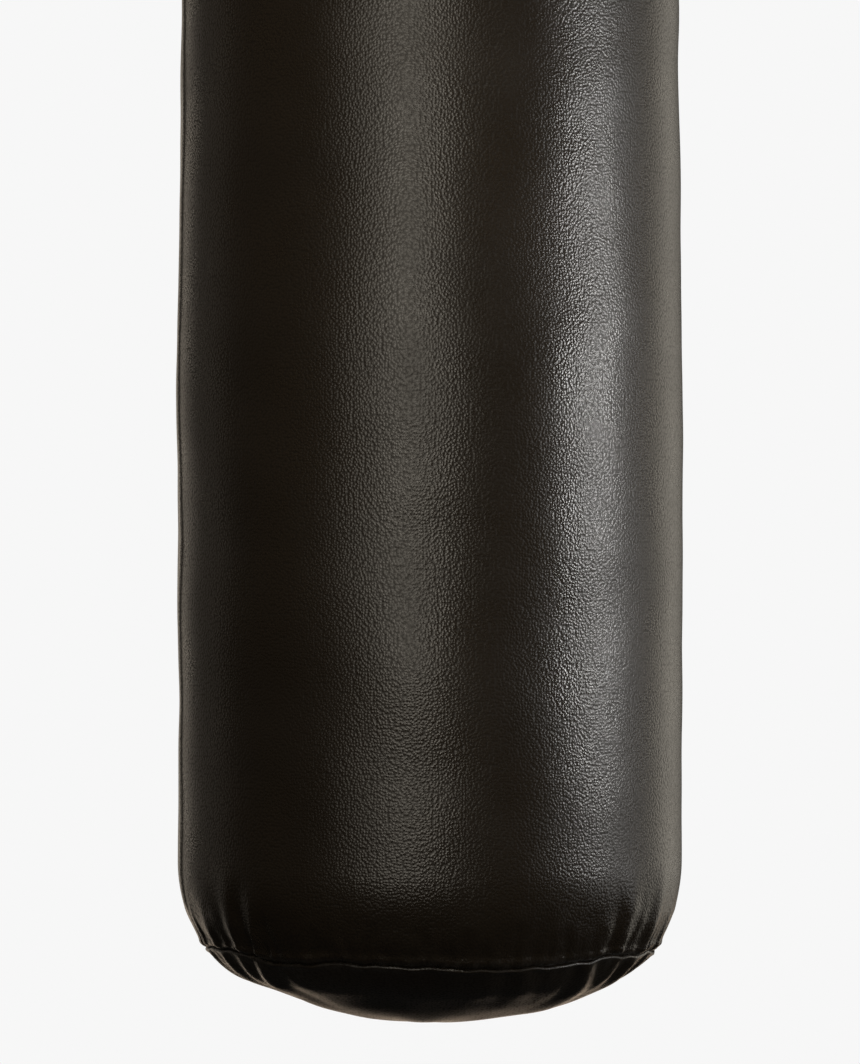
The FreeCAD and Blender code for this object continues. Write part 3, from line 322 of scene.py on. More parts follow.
def metal(name, colour, roughness, scratch=0.5, grimy=0.4):
    """Metal with fine scratches, a cloudy tone and dull grime."""
    recipe = Recipe(name, colour, roughness, 1.0)
    stretched = recipe.add("ShaderNodeMapping", {"Vector": recipe.place, "Scale": (1.0, 1.0, 0.09)})
    cloud = recipe.noise(60, 4.0, 0.6)
    dirt = recipe.span(recipe.noise(210, 5.0, 0.65), 0.52, 0.72, 0.0, grimy)
    tinted = recipe.blend(recipe.span(cloud, 0.3, 0.7, 0.0, 0.5), colour, shade(colour, 0.7))
    recipe.colour(recipe.blend(dirt, tinted, GRIME))
    dull = recipe.span(cloud, 0.3, 0.7, roughness - 0.05, roughness + 0.09)
    recipe.rough(recipe.maths("ADD", dull, recipe.span(dirt, 0.0, 0.5, 0.0, 0.22)))
    recipe.bump(recipe.noise(2400, 2.0, 0.6, stretched.outputs[0]), 0.00002, scratch)
    recipe.bump(recipe.noise(700, 3.0), 0.00004, 0.35)
    return recipe.material


def powder_coat(name, colour):
    """Textured powder coat, rubbed thin in spots."""
    recipe = Recipe(name, colour, 0.48)
    recipe.bump(recipe.cells(1300).outputs["Distance"], 0.00012, 0.55)
    rubbed = recipe.span(recipe.noise(70, 5.0, 0.7), 0.60, 0.72, 0.0, 0.75)
    recipe.colour(recipe.blend(rubbed, colour, (0.11, 0.105, 0.10)))
    recipe.rough(recipe.span(recipe.noise(24, 4.0, 0.6), 0.3, 0.7, 0.40, 0.56))
    return recipe.material


def woven(name, colour, pitch):
    """Plain-woven tape or cloth with threads at a pitch in metres."""
    recipe = Recipe(name, colour, 0.85)
    recipe.shader.inputs["Sheen Weight"].default_value = 0.25
    threads = []
    for way in "XY":
        wave = recipe.add("ShaderNodeTexWave", bands_direction=way,
                          inputs={"Vector": recipe.place, "Scale": 0.31 / pitch, "Distortion": 0.6})
        threads.append(wave.outputs["Fac"])
    weave = recipe.maths("MAXIMUM", *threads)
    recipe.bump(weave, 0.00018, 0.8)
    dust = recipe.span(recipe.noise(45, 5.0, 0.65), 0.45, 0.8, 0.0, 0.25)
    # painted shade: the hollows between the threads are coloured half as bright as the threads
    body = recipe.blend(recipe.span(weave, 0.3, 1.0), shade(colour, 0.5), colour)
    recipe.colour(recipe.blend(dust, body, shade(colour, 1.8)))
    return recipe.material


def foam(name, colour):
    """Open-cell foam."""
    recipe = Recipe(name, colour, 0.95)
    pores = recipe.cells(900).outputs["Distance"]
    recipe.bump(pores, 0.0004, 0.9)
    # painted shade: the sunken middles of the pores are coloured darker, down to 0.6 of the foam's colour
    recipe.colour(recipe.blend(recipe.span(pores, 0.1, 0.6), shade(colour, 0.6), colour))
    return recipe.material


def rags(name):
    """Packed textile cuttings of mixed greys."""
    grey = (0.16, 0.155, 0.15)
    recipe = Recipe(name, grey, 0.92)
    scraps = recipe.cells(38)
    recipe.colour(recipe.blend(0.72, scraps.outputs["Color"], grey))
    recipe.bump(scraps.outputs["Distance"], 0.003, 0.8)
    recipe.bump(recipe.noise(900, 3.0), 0.0003, 0.6)
    return recipe.material


def moulded(name, colour):
    """Moulded plastic with a fine texture."""
    recipe = Recipe(name, colour, 0.5)
    recipe.bump(recipe.noise(1500, 3.0), 0.00005, 0.6)
    recipe.colour(recipe.blend(recipe.span(recipe.noise(20, 3.0), 0.3, 0.7), colour, shade(colour, 0.8)))
    return recipe.material


def waxed_thread(name, colour):
    """Twisted sewing thread."""
    recipe = Recipe(name, colour, 0.55)
    twist = recipe.add("ShaderNodeTexWave", bands_direction="DIAGONAL",
                       inputs={"Vector": recipe.place, "Scale": 420.0, "Distortion": 1.0}).outputs["Fac"]
    recipe.bump(twist, 0.00015, 0.8)
    # painted shade: the grooves of the twist are coloured darker, down to 0.55 of the thread's colour
    recipe.colour(recipe.blend(twist, shade(colour, 0.55), colour))
    return recipe.material


def floor_paint():
    """Pale paint that the camera sees evenly lit, and that throws little light up at the bag."""
    paint = (0.03, 0.029, 0.028)
    recipe = Recipe("floor_paint", paint, 0.8)
    recipe.colour(recipe.blend(recipe.span(recipe.noise(1.5, 3.0), 0.3, 0.7), paint, shade(paint, 0.95)))
    recipe.shader.inputs["Emission Color"].default_value = (0.90, 0.90, 0.90, 1)
    seen = recipe.add("ShaderNodeLightPath").outputs["Is Camera Ray"]
    recipe.feed(recipe.shader.inputs["Emission Strength"], seen)
    return recipe.material


# ---------------------------------------------------------------- mesh helpers

def new_piece(name, vertices, faces, material, body, corner_uv=None):
    """A mesh object in the shared frame that rides on a body."""
    mesh = bpy.data.meshes.new(name)
    mesh.from_pydata([tuple(point) for point in vertices], [], faces)
    mesh.update()
    mesh.materials.append(material)
    mesh.polygons.foreach_set("use_smooth", np.ones(len(mesh.polygons), bool))
    if corner_uv is not None:
        layer = mesh.uv_layers.new(name="metres")
        layer.data.foreach_set("uv", np.asarray(corner_uv, np.float32).ravel())
    piece = bpy.data.objects.new(name, mesh)
    bpy.context.collection.objects.link(piece)
    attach(piece, body)
    return piece


def grid_piece(name, points, flat, material, cap=False):
    """Quads over points [row, column] of the bag, with flat as their places on the flat hide, in metres.

    The last column joins the first, so flat has one column more. cap closes the last row with a fan.
    """
    rows, columns = points.shape[:2]
    vertices = points.reshape(-1, 3)
    index = np.arange(rows * columns).reshape(rows, columns)
    after = np.roll(index, -1, axis=1)
    faces = np.stack([index[:-1], after[:-1], after[1:], index[1:]], axis=-1).reshape(-1, 4).tolist()
    spots = np.stack([flat[:-1, :-1], flat[:-1, 1:], flat[1:, 1:], flat[1:, :-1]], axis=2).reshape(-1, 2)
    if cap:
        vertices = np.vstack([vertices, vertices[-columns:].mean(axis=0)])
        last = len(vertices) - 1
        faces += [[int(a), int(b), last] for a, b in zip(index[-1], after[-1])]
        middle = np.broadcast_to(flat[-1, :-1].mean(axis=0), flat[-1, :-1].shape)
        fan = np.stack([flat[-1, :-1], flat[-1, 1:], middle], axis=1).reshape(-1, 2)
        spots = np.vstack([spots, fan])
    return new_piece(name, vertices, faces, material, "bag", spots)


def polar(bearing, radius, level):
    """Points at bearings (degrees), radii and levels, as an array with a last axis of 3."""
    turn, radius, level = np.broadcast_arrays(np.radians(bearing), radius, level)
    return np.stack([np.sin(turn) * radius, -np.cos(turn) * radius, level], axis=-1)


def closed_flat(points):
    """The horizontal places of a closed grid's points, with its first column repeated at the end."""
    return np.concatenate([points, points[:, :1]], axis=1)[..., :2]


def sleeve_faces(rows, sides):
    """Faces of a capped sleeve whose vertices go round it row by row."""
    faces = [list(range(sides))[::-1], list(range((rows - 1) * sides, rows * sides))]
    for row in range(rows - 1):
        for side in range(sides):
            beside = (side + 1) % sides
            faces.append([row * sides + side, row * sides + beside,
                          (row + 1) * sides + beside, (row + 1) * sides + side])
    return faces


def tube(path, radius, sides):
    """Vertices and faces of a round, capped tube along points. radius may vary along it."""
    path = np.asarray(path, float)
    along = np.gradient(path, axis=0)
    along /= np.linalg.norm(along, axis=1)[:, None]
    helper = np.array([0.0, 0.0, 1.0]) if abs(along[:, 2]).max() < 0.9 else np.array([1.0, 0.3, 0.0])
    across = np.cross(along, helper)
    across /= np.linalg.norm(across, axis=1)[:, None]
    over = np.cross(across, along)
    angles = np.linspace(0, 2 * np.pi, sides, endpoint=False)
    size = np.broadcast_to(radius, (len(path),))[:, None, None]
    ring = np.cos(angles)[None, :, None] * across[:, None] + np.sin(angles)[None, :, None] * over[:, None]
    return (path[:, None] + ring * size).reshape(-1, 3), sleeve_faces(len(path), sides)


def joined(parts):
    """One list of vertices and faces from several."""
    vertices = []
    faces = []
    start = 0
    for points, polygons in parts:
        vertices.append(np.asarray(points, float))
        faces += [[corner + start for corner in polygon] for polygon in polygons]
        start += len(points)
    return np.vstack(vertices), faces


STITCH = 0.0034
STITCH_GAP = 0.0010


def stitches(path, outward, thick=0.00042):
    """Sunken-ended stitches along a path of points, with the surface's outward direction at each."""
    path = np.asarray(path, float)
    outward = np.asarray(outward, float)
    run = np.concatenate([[0], np.cumsum(np.linalg.norm(np.diff(path, axis=0), axis=1))])
    parts = []
    for start in np.arange(STITCH_GAP, run[-1] - STITCH, STITCH + STITCH_GAP):
        places = start + STITCH * np.array([0.0, 0.12, 0.5, 0.88, 1.0])
        line = np.stack([np.interp(places, run, path[:, axis]) for axis in range(3)], axis=1)
        lift = np.stack([np.interp(places, run, outward[:, axis]) for axis in range(3)], axis=1)
        line = line + lift * (thick * np.array([-1.0, 0.25, 0.6, 0.25, -1.0]))[:, None]
        parts.append(tube(line, thick * np.array([0.6, 1.0, 1.0, 1.0, 0.6]), 6))
    return parts


# ---------------------------------------------------------------- leather of the bag

# Folds of the wall that gather into the base seam, and of the base panel that spread from it
FRONT_WALL_FOLDS = [
    Fold(-76.0, 1, 0.050, 0.0036, 0.0010),
    Fold(-67.0, 1, 0.046, 0.0056, 0.0012),
    Fold(-53.6, 1, 0.070, 0.0070, 0.0034),
    Fold(-46.8, 3, 0.056, 0.0056, 0.0034),
    Fold(-38.0, 2, 0.034, 0.0060, 0.0006),
    Fold(46.0, -1, 0.038, 0.0052, 0.0016),
    Fold(53.6, -2, 0.070, 0.0066, 0.0027),
    Fold(65.4, 1, 0.068, 0.0066, 0.0026),
    Fold(78.5, -2, 0.050, 0.0042, 0.0014),
    Fold(87.0, 0, 0.044, 0.0040, 0.0012),
]
FRONT_BASE_FOLDS = [
    Fold(-78.0, -4, 0.036, 0.0050, 0.0009),
    Fold(-66.0, -10, 0.060, 0.0070, 0.0014),
    Fold(-56.0, -14, 0.070, 0.0060, 0.0012),
    Fold(-47.0, -22, 0.095, 0.0098, 0.0028),
    Fold(-33.0, -8, 0.060, 0.0075, 0.0006),
    Fold(14.0, 6, 0.075, 0.0080, 0.0008),
    Fold(24.0, 13, 0.085, 0.0080, 0.0014),
    Fold(43.5, 24, 0.090, 0.0085, 0.0026),
    Fold(55.0, 14, 0.050, 0.0050, 0.0008),
    Fold(64.0, 20, 0.080, 0.0088, 0.0022),
    Fold(76.0, 8, 0.045, 0.0050, 0.0010),
]
# How far the base seam rides over or under its level: bearing and rise
SEAM_WAVE = [
    (-96, 0.0005), (-82, 0.0030), (-70, 0.0052), (-56, 0.0050), (-49, 0.0030), (-43, 0.0000),
    (-34, -0.0004), (-24, 0.0024), (-12, 0.0008), (0, 0.0000), (14, -0.0022), (26, -0.0014),
    (36, -0.0004), (42, 0.0006), (50, 0.0034), (58, 0.0026), (66, 0.0008), (72, 0.0032),
    (82, 0.0004), (96, -0.0006),
]
CLOSING_SEAM = -79.0                         # bearing of the wall's vertical seam


def apart(bearing, centre):
    """Signed degrees from one bearing to another, the short way."""
    return (bearing - centre + 180) % 360 - 180


def hump(distance, width):
    return np.exp(-(distance / width) ** 2)


def seeded_folds(seed, count, front_share, kept):
    """Small puckers all round, weaker at the front and none beside the folds that are kept."""
    draw = np.random.default_rng(seed)
    folds = []
    while len(folds) < count:
        bearing = draw.uniform(-180, 180)
        lean, length, width, depth = draw.uniform((-4, 0.014, 0.0024, 0.0004), (4, 0.055, 0.0054, 0.0019))
        if any(abs(apart(bearing, fold.bearing)) < 3.2 for fold in kept):
            continue
        if abs(bearing) < 95:
            depth *= front_share
        folds.append(Fold(bearing, lean, length, width, depth))
    return folds


def fold_heights(folds, bearing, away, radius):
    """Outward height of folds at points that are away from their seam, in metres along the hide."""
    total = np.zeros(np.broadcast(bearing, away).shape)
    for fold in folds:
        reach = away / fold.length
        offset = apart(bearing, fold.bearing + fold.lean * reach)
        across = np.radians(offset) * radius / (fold.width * (0.75 + 0.65 * reach))
        fade = np.clip(1 - reach, 0, 1) ** 1.3 * np.clip(0.45 + away / 0.007, 0, 1)
        trough = np.exp(-(np.abs(across) - 1.75) ** 2 / 0.7)
        total += fold.depth * fade * (hump(across, 1) - 0.55 * trough)
    return total


def rolling(bearing, level, seed, size, waves, shortest, longest):
    """Slow undulation of a stuffed skin, the same in every run."""
    draw = np.random.default_rng(seed)
    total = np.zeros(np.broadcast(bearing, level).shape)
    for _ in range(waves):
        turns = draw.integers(1, 9)
        length = draw.uniform(shortest, longest)
        phase, shift = draw.uniform(0, 2 * np.pi, 2)
        weight = draw.uniform(0.4, 1.0) / (1 + 0.25 * turns)
        slant = draw.uniform(-6, 6)
        around = np.sin(np.radians(bearing) * turns + phase + slant * level)
        total += weight * around * np.sin(2 * np.pi * level / length + shift)
    return total * size / math.sqrt(waves / 4)


def seam_wave(bearing):
    """Rise of the base seam at a bearing: as listed at the front, and wavy all round."""
    places, rises = np.array(SEAM_WAVE).T
    samples = np.arange(-180, 180, 0.5)
    turn = np.radians(samples)
    back = 0.0016 * np.sin(7 * turn + 1.0) + 0.0011 * np.sin(17 * turn)
    curve = np.where(np.abs(samples) <= 96, np.interp(samples, places, rises), back)
    spread = hump(np.arange(-12, 13) * 0.5, 2.0)
    smooth = np.convolve(np.concatenate([curve[-12:], curve, curve[:12]]), spread / spread.sum(), "valid")
    wrapped = apart(np.asarray(bearing), 0)
    ripple = 0.00042 * np.sin(np.radians(wrapped) * 29 + 1) + 0.00022 * np.sin(np.radians(wrapped) * 53 + 2)
    return np.interp(wrapped, np.append(samples, 180), np.append(smooth, smooth[0])) + ripple


def tuck_radius(rise):
    """Plain radius of the wall at a height over the base seam, the same tuck at both ends."""
    inside = np.clip(TUCK - np.minimum(rise, TALL - rise), 0, TUCK)
    return RADIUS - TUCK_BEND + np.sqrt(TUCK_BEND ** 2 - inside ** 2)


STRIP_TALL = 0.125                           # height of the simulated strip over a seam
STRIP_PITCH = 0.0045                         # size of its quads
CLOTH_FRAMES = 20
LARGEST_GATHER = 0.005                       # cap on how far the simulation moves the hide


def strip_of_hide(bearing, rise):
    """The strip drawn in to the seam, pinned at both edges, with its ease in a vertex group.

    The ease is 1 in the straight wall, where the hide already has its full width, and 0 at the seam.
    """
    radius = tuck_radius(rise)
    start = 0.25 * fold_heights(seeded_folds(71, 120, 1.0, []), bearing, rise, SEAM_RADIUS)
    drawn = polar(bearing, radius + start, rise)
    strip = grid_piece("strip", drawn, closed_flat(drawn), bpy.data.materials.new("strip"))
    ease = strip.vertex_groups.new(name="drawn_in")
    pins = strip.vertex_groups.new(name="pins")
    columns = bearing.shape[1]
    tightest = RADIUS / SEAM_RADIUS
    for row, out in enumerate(radius.ravel()):
        ring = list(range(row * columns, (row + 1) * columns))
        ease.add(ring, float((tightest - RADIUS / out) / (tightest - 1)), "REPLACE")
        if row in (0, len(radius) - 1):
            pins.add(ring, 1.0, "REPLACE")
    return strip


def simulated_gathers():
    """Cloth simulation of the stuffed hide beside a seam.

    The strip is cut for the straight wall and held at the seam's smaller ring, so that the pressure
    inside throws it into folds. Returns bearings, rises over the seam and outward moves [rise, bearing].
    """
    columns = round(2 * math.pi * RADIUS / STRIP_PITCH)
    bearing = np.linspace(-180, 180, columns + 1)[None, :-1]
    rise = np.linspace(0, STRIP_TALL, round(STRIP_TALL / STRIP_PITCH))[:, None]
    strip = strip_of_hide(bearing, rise)
    cloth = strip.modifiers.new("cloth", "CLOTH")
    hide = cloth.settings
    hide.vertex_group_mass = "pins"
    hide.vertex_group_shrink = "drawn_in"
    hide.shrink_min = 1 - RADIUS / SEAM_RADIUS
    hide.shrink_max = 0
    hide.effector_weights.gravity = 0
    hide.use_pressure = True
    hide.uniform_pressure_force = 4
    hide.quality = 5
    hide.mass = 0.3
    hide.tension_stiffness = 15
    hide.compression_stiffness = 15
    hide.shear_stiffness = 4
    hide.bending_stiffness = 0.5
    cloth.collision_settings.use_collision = False
    cloth.point_cache.frame_start = 1
    cloth.point_cache.frame_end = CLOTH_FRAMES
    scene = bpy.context.scene
    for number in range(1, CLOTH_FRAMES + 1):
        scene.frame_set(number)
    shaped = strip.evaluated_get(bpy.context.evaluated_depsgraph_get())
    places = np.empty(len(shaped.data.vertices) * 3)
    shaped.data.vertices.foreach_get("co", places)
    scene.frame_set(1)
    bpy.data.objects.remove(strip)
    places = places.reshape(rise.shape[0], columns, 3)
    radius = np.hypot(places[..., 0], places[..., 1])
    folds = radius - radius.mean(axis=1, keepdims=True)
    return bearing, rise, np.clip(folds, -LARGEST_GATHER, LARGEST_GATHER)


def gathers_at(gathers, bearing, away, turned=0):
    """The simulated folds at the wall's columns and rows, turned by some degrees."""
    knots, rises, folds = gathers
    offset = np.radians(apart(bearing.ravel()[:, None], knots + turned)) * RADIUS
    around = hump(offset, 0.8 * STRIP_PITCH)
    up = hump(np.minimum(away, STRIP_TALL) - rises.T, 0.8 * STRIP_PITCH)
    around /= around.sum(axis=1, keepdims=True)
    up /= up.sum(axis=1, keepdims=True)
    return (up @ folds @ around.T) * np.clip((STRIP_TALL - away) / 0.05, 0, 1)


def wall_columns():
    """Bearings of the wall's columns from the closing seam round to it, closer together beside it."""
    beside = 2.6 * np.linspace(0, 1, 19) ** 1.2
    return CLOSING_SEAM + np.concatenate([beside, np.linspace(2.6, 357.4, 861)[1:-1], 360 - beside[:0:-1]])


def wall_rows():
    """Heights of the wall's rows over the base seam, closer together at the seams."""
    low = 0.085 * np.linspace(0, 1, 72) ** 1.35
    return np.concatenate([low, np.linspace(0.085, TALL - 0.085, 170)[1:-1], (TALL - low)[::-1]])


def under_tabs(bearing, from_top):
    """1 where a hanging tab presses the wall flat, 0 elsewhere."""
    nearest = np.min([np.abs(apart(bearing, tab)) for tab in TAB_BEARINGS], axis=0)
    return np.clip((9 - nearest) / 3, 0, 1) * np.clip((0.140 - from_top) / 0.012, 0, 1)


def make_wall(leather):
    """The wall: a stuffed tube of hide with one closing seam, gathered into the base and top seams."""
    bearing = wall_columns()[None, :]
    rise = wall_rows()[:, None]
    from_top = TALL - rise
    middle = np.clip(np.minimum(rise, from_top) / 0.10, 0.12, 1)
    proud = 0.0011 * hump(rise - 0.385, 0.09) - 0.0024 * hump(rise - 0.66, 0.16)
    proud = proud + rolling(bearing, rise, 4, 0.00105, 26, 0.10, 0.45) * middle
    proud = proud + rolling(bearing, rise, 9, 0.00032, 24, 0.04, 0.12) * middle
    gathers = simulated_gathers()
    front = np.clip((100 - np.abs(apart(bearing, 0))) / 20, 0, 1)
    base_folds = FRONT_WALL_FOLDS + seeded_folds(11, 92, 0.42, FRONT_WALL_FOLDS)
    proud = proud + fold_heights(base_folds, bearing, rise, SEAM_RADIUS)
    proud = proud + gathers_at(gathers, bearing, rise) * (1 - 0.5 * front)
    proud = proud + fold_heights(seeded_folds(23, 110, 1.0, []), bearing, from_top, SEAM_RADIUS)
    proud = proud + gathers_at(gathers, bearing, from_top, turned=130)
    proud = proud * (1 - under_tabs(bearing, from_top))

    arc = np.radians(apart(bearing, CLOSING_SEAM)) * RADIUS
    proud = proud - 0.0030 * hump(arc, 0.0010) + 0.0008 * hump(arc - 0.0034, 0.0024)
    proud = proud + 0.0003 * hump(arc + 0.0034, 0.0024)
    for away in (rise, from_top):
        proud = proud - 0.0014 * hump(away, 0.0010) + 0.0012 * hump(away - 0.0036, 0.0030)
    radius = tuck_radius(rise) + proud
    level = BASE_SEAM + rise + seam_wave(bearing) * np.exp(-rise / 0.022)
    points = polar(bearing, radius, level)[:, :-1]
    across = np.radians(bearing - CLOSING_SEAM) * RADIUS
    flat = np.stack(np.broadcast_arrays(across, rise), axis=-1)
    wall = grid_piece("leather_wall", points, flat, leather)
    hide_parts("wall_leather")


def turned_edge(start, end, radius, count=9):
    """Angles of a rolled edge, as its places out and up from the edge's centre."""
    turn = np.radians(np.linspace(start, end, count))
    return radius * np.cos(turn), radius * np.sin(turn)


def make_base(leather):
    """The base panel: out of the seam's groove over a thin lip, then a dome that sags more at the right."""
    bearing = np.linspace(-180, 180, 721)[None, :-1]
    ball = (SEAM_RADIUS ** 2 + BULGE ** 2) / (2 * BULGE)
    rim = math.asin(SEAM_RADIUS / ball)
    lip_out, lip_up = turned_edge(115, -25, 0.0015)
    tilt = rim * (1 - np.linspace(0, 1, 96)[1:-1] ** 0.82)
    dome_out = ball * np.sin(tilt)
    dome_up = ball - BULGE - ball * np.cos(tilt)
    out = np.concatenate([[SEAM_RADIUS - SEAM_HEM], SEAM_RADIUS - 0.0019 + lip_out, dome_out])[:, None]
    up = np.concatenate([[0.0009], lip_up - 0.0008, dome_up])[:, None]
    away = np.concatenate([np.zeros(10), SEAM_RADIUS - dome_out])[:, None]
    tilt = np.concatenate([np.full(10, rim), tilt])[:, None]

    folds = FRONT_BASE_FOLDS + seeded_folds(31, 64, 0.25, FRONT_BASE_FOLDS)
    proud = fold_heights(folds, bearing, away, out) * np.clip(away / 0.004, 0.15, 1)
    proud = proud + 0.0030 * hump(away - 0.022, 0.020)
    proud = proud + 0.0036 * hump(apart(bearing, 72), 30) * hump(away - 0.062, 0.035)
    inner = np.clip(away / 0.03, 0, 1) * np.clip(out / 0.05, 0, 1)
    proud = proud + rolling(bearing, away, 41, 0.0010, 16, 0.06, 0.2) * inner
    radius = out + proud * np.sin(tilt)
    level = BASE_SEAM + up - proud * np.cos(tilt) + seam_wave(bearing) * np.exp(-away / 0.012)
    points = polar(bearing, radius, level)
    base = grid_piece("leather_base", points, closed_flat(points), leather, cap=True)
    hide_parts("base_panel")


def make_top(leather, thread):
    """The top panel: a turned lip at the rim, puckers, and a hemmed and sewn slot for the zip."""
    slot_long = ZIP_HALF + 0.003
    slot_half = ZIP_SLOT_HALF
    turn = np.linspace(0, 2 * np.pi, 721)[:-1]
    bearing = np.degrees(turn)[None, :]
    corner = np.abs(np.sin(turn)) ** 0.25 * np.sign(np.sin(turn))
    side = np.abs(np.cos(turn)) ** 0.25 * np.sign(np.cos(turn))
    hole = np.stack([slot_long * corner, -slot_half * side], axis=-1)[None]
    lip_out, lip_up = turned_edge(-115, 60, 0.0013)
    rim_out = np.concatenate([[SEAM_RADIUS - SEAM_HEM], SEAM_RADIUS - 0.0013 + lip_out])
    rim_up = np.concatenate([[0.0002], lip_up + 0.0014])
    rim = polar(bearing, rim_out[:, None], rim_up[:, None])

    share = np.linspace(0, 1, 70)[1:, None, None]
    edge = rim[-1:, :, :2]
    plane = edge + (hole - edge) * share
    away = np.linalg.norm(plane - edge, axis=-1)
    to_slot = np.linalg.norm(plane - hole, axis=-1)
    puckers = fold_heights(seeded_folds(57, 110, 1.0, []), bearing, away, SEAM_RADIUS)
    swell = 0.0030 * np.sin(np.pi * np.clip(to_slot / 0.13, 0, 1))
    swell = swell + rolling(bearing, away, 61, 0.0006, 12, 0.05, 0.2)
    up = rim_up[-1] + puckers * np.clip(away / 0.004, 0.1, 1) * np.clip(to_slot / 0.02, 0, 1)
    up = up + swell * np.clip(to_slot / 0.03, 0, 1) * np.clip(away / 0.02, 0, 1)
    up = up + 0.0004 * hump(to_slot - 0.009, 0.002) - 0.0006 * hump(to_slot - 0.0045, 0.0009)
    panel = np.concatenate([plane, up[..., None]], axis=-1)

    hem_out, hem_up = turned_edge(90, -90, TOP_THICK / 2, 7)
    inward = -hole / np.linalg.norm(hole / np.array([1.0, slot_half / slot_long]), axis=-1, keepdims=True)
    inward = inward * np.array([0.1, 1.0])
    hem = []
    for out, rise in zip(hem_out[1:], hem_up[1:]):
        level = np.full((1, len(turn), 1), rim_up[-1] - TOP_THICK / 2 + rise)
        hem.append(np.concatenate([hole + inward * out * 0.4, level], axis=-1))
    points = np.concatenate([rim, panel] + hem)
    points[..., 2] += TOP_SEAM
    top = grid_piece("leather_top", points, closed_flat(points), leather)
    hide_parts("top_panel")

    row = np.argmin(np.abs(to_slot.mean(axis=1) - 0.0045))
    around = np.concatenate([panel[row], panel[row][:1]])
    around[:, 2] += TOP_SEAM
    seam = stitches(around, np.broadcast_to([0, 0, 1.0], around.shape))
    vertices, faces = joined(seam)
    new_piece("slot_stitching", vertices, faces, thread, "bag")


# ---------------------------------------------------------------- hanging tabs

TAB_WIDE = 0.034
TAB_LOW = 0.125                              # top seam to the tab's lower end
TAB_LEAN = math.radians(24)                  # lean over the rim, from upright
TAB_FREE = 0.044                             # wall's curve to the D-ring's bar
TAB_GAP = 0.0001                             # tab to wall
PLY = 0.0025
LOOP = 0.0035 + PLY / 2                      # D-ring's bar to the middle of the ply round it


def tab_line(outward):
    """One ply's middle line over the wall, from its lower end to the loop: (radius, height) points."""
    reach = TUCK_BEND + TAB_GAP + outward
    centre = RADIUS - TUCK_BEND
    line = [(centre + reach, height) for height in np.linspace(-TAB_LOW, -TUCK, 26)[:-1]]
    line += [(centre + reach * math.cos(turn), reach * math.sin(turn) - TUCK)
             for turn in np.linspace(0, TAB_LEAN, 20)]
    stop = TAB_FREE - math.sqrt(LOOP ** 2 - (PLY / 2) ** 2) - 0.004
    for along in np.linspace(0, stop, 20)[1:]:
        line.append((centre + reach * math.cos(TAB_LEAN) - along * math.sin(TAB_LEAN),
                     reach * math.sin(TAB_LEAN) + along * math.cos(TAB_LEAN) - TUCK))
    return line


def tab_path():
    """The strap's middle line: up the outer ply, round the D-ring's bar and down the inner ply."""
    reach = TUCK_BEND + TAB_GAP + PLY
    bar = np.array([RADIUS - TUCK_BEND + reach * math.cos(TAB_LEAN) - TAB_FREE * math.sin(TAB_LEAN),
                    reach * math.sin(TAB_LEAN) + TAB_FREE * math.cos(TAB_LEAN) - TUCK])
    first = -math.asin(PLY / 2 / LOOP) * 1.6 - 0.5
    loop = []
    for turn in np.linspace(first, math.pi - first, 26):
        angle = turn + TAB_LEAN
        loop.append(bar + LOOP * np.array([math.cos(angle), math.sin(angle)]))
    path = np.array(tab_line(1.5 * PLY) + loop + tab_line(0.5 * PLY)[::-1])
    for _ in range(3):
        path[1:-1] = (path[:-2] + 2 * path[1:-1] + path[2:]) / 4
    return path


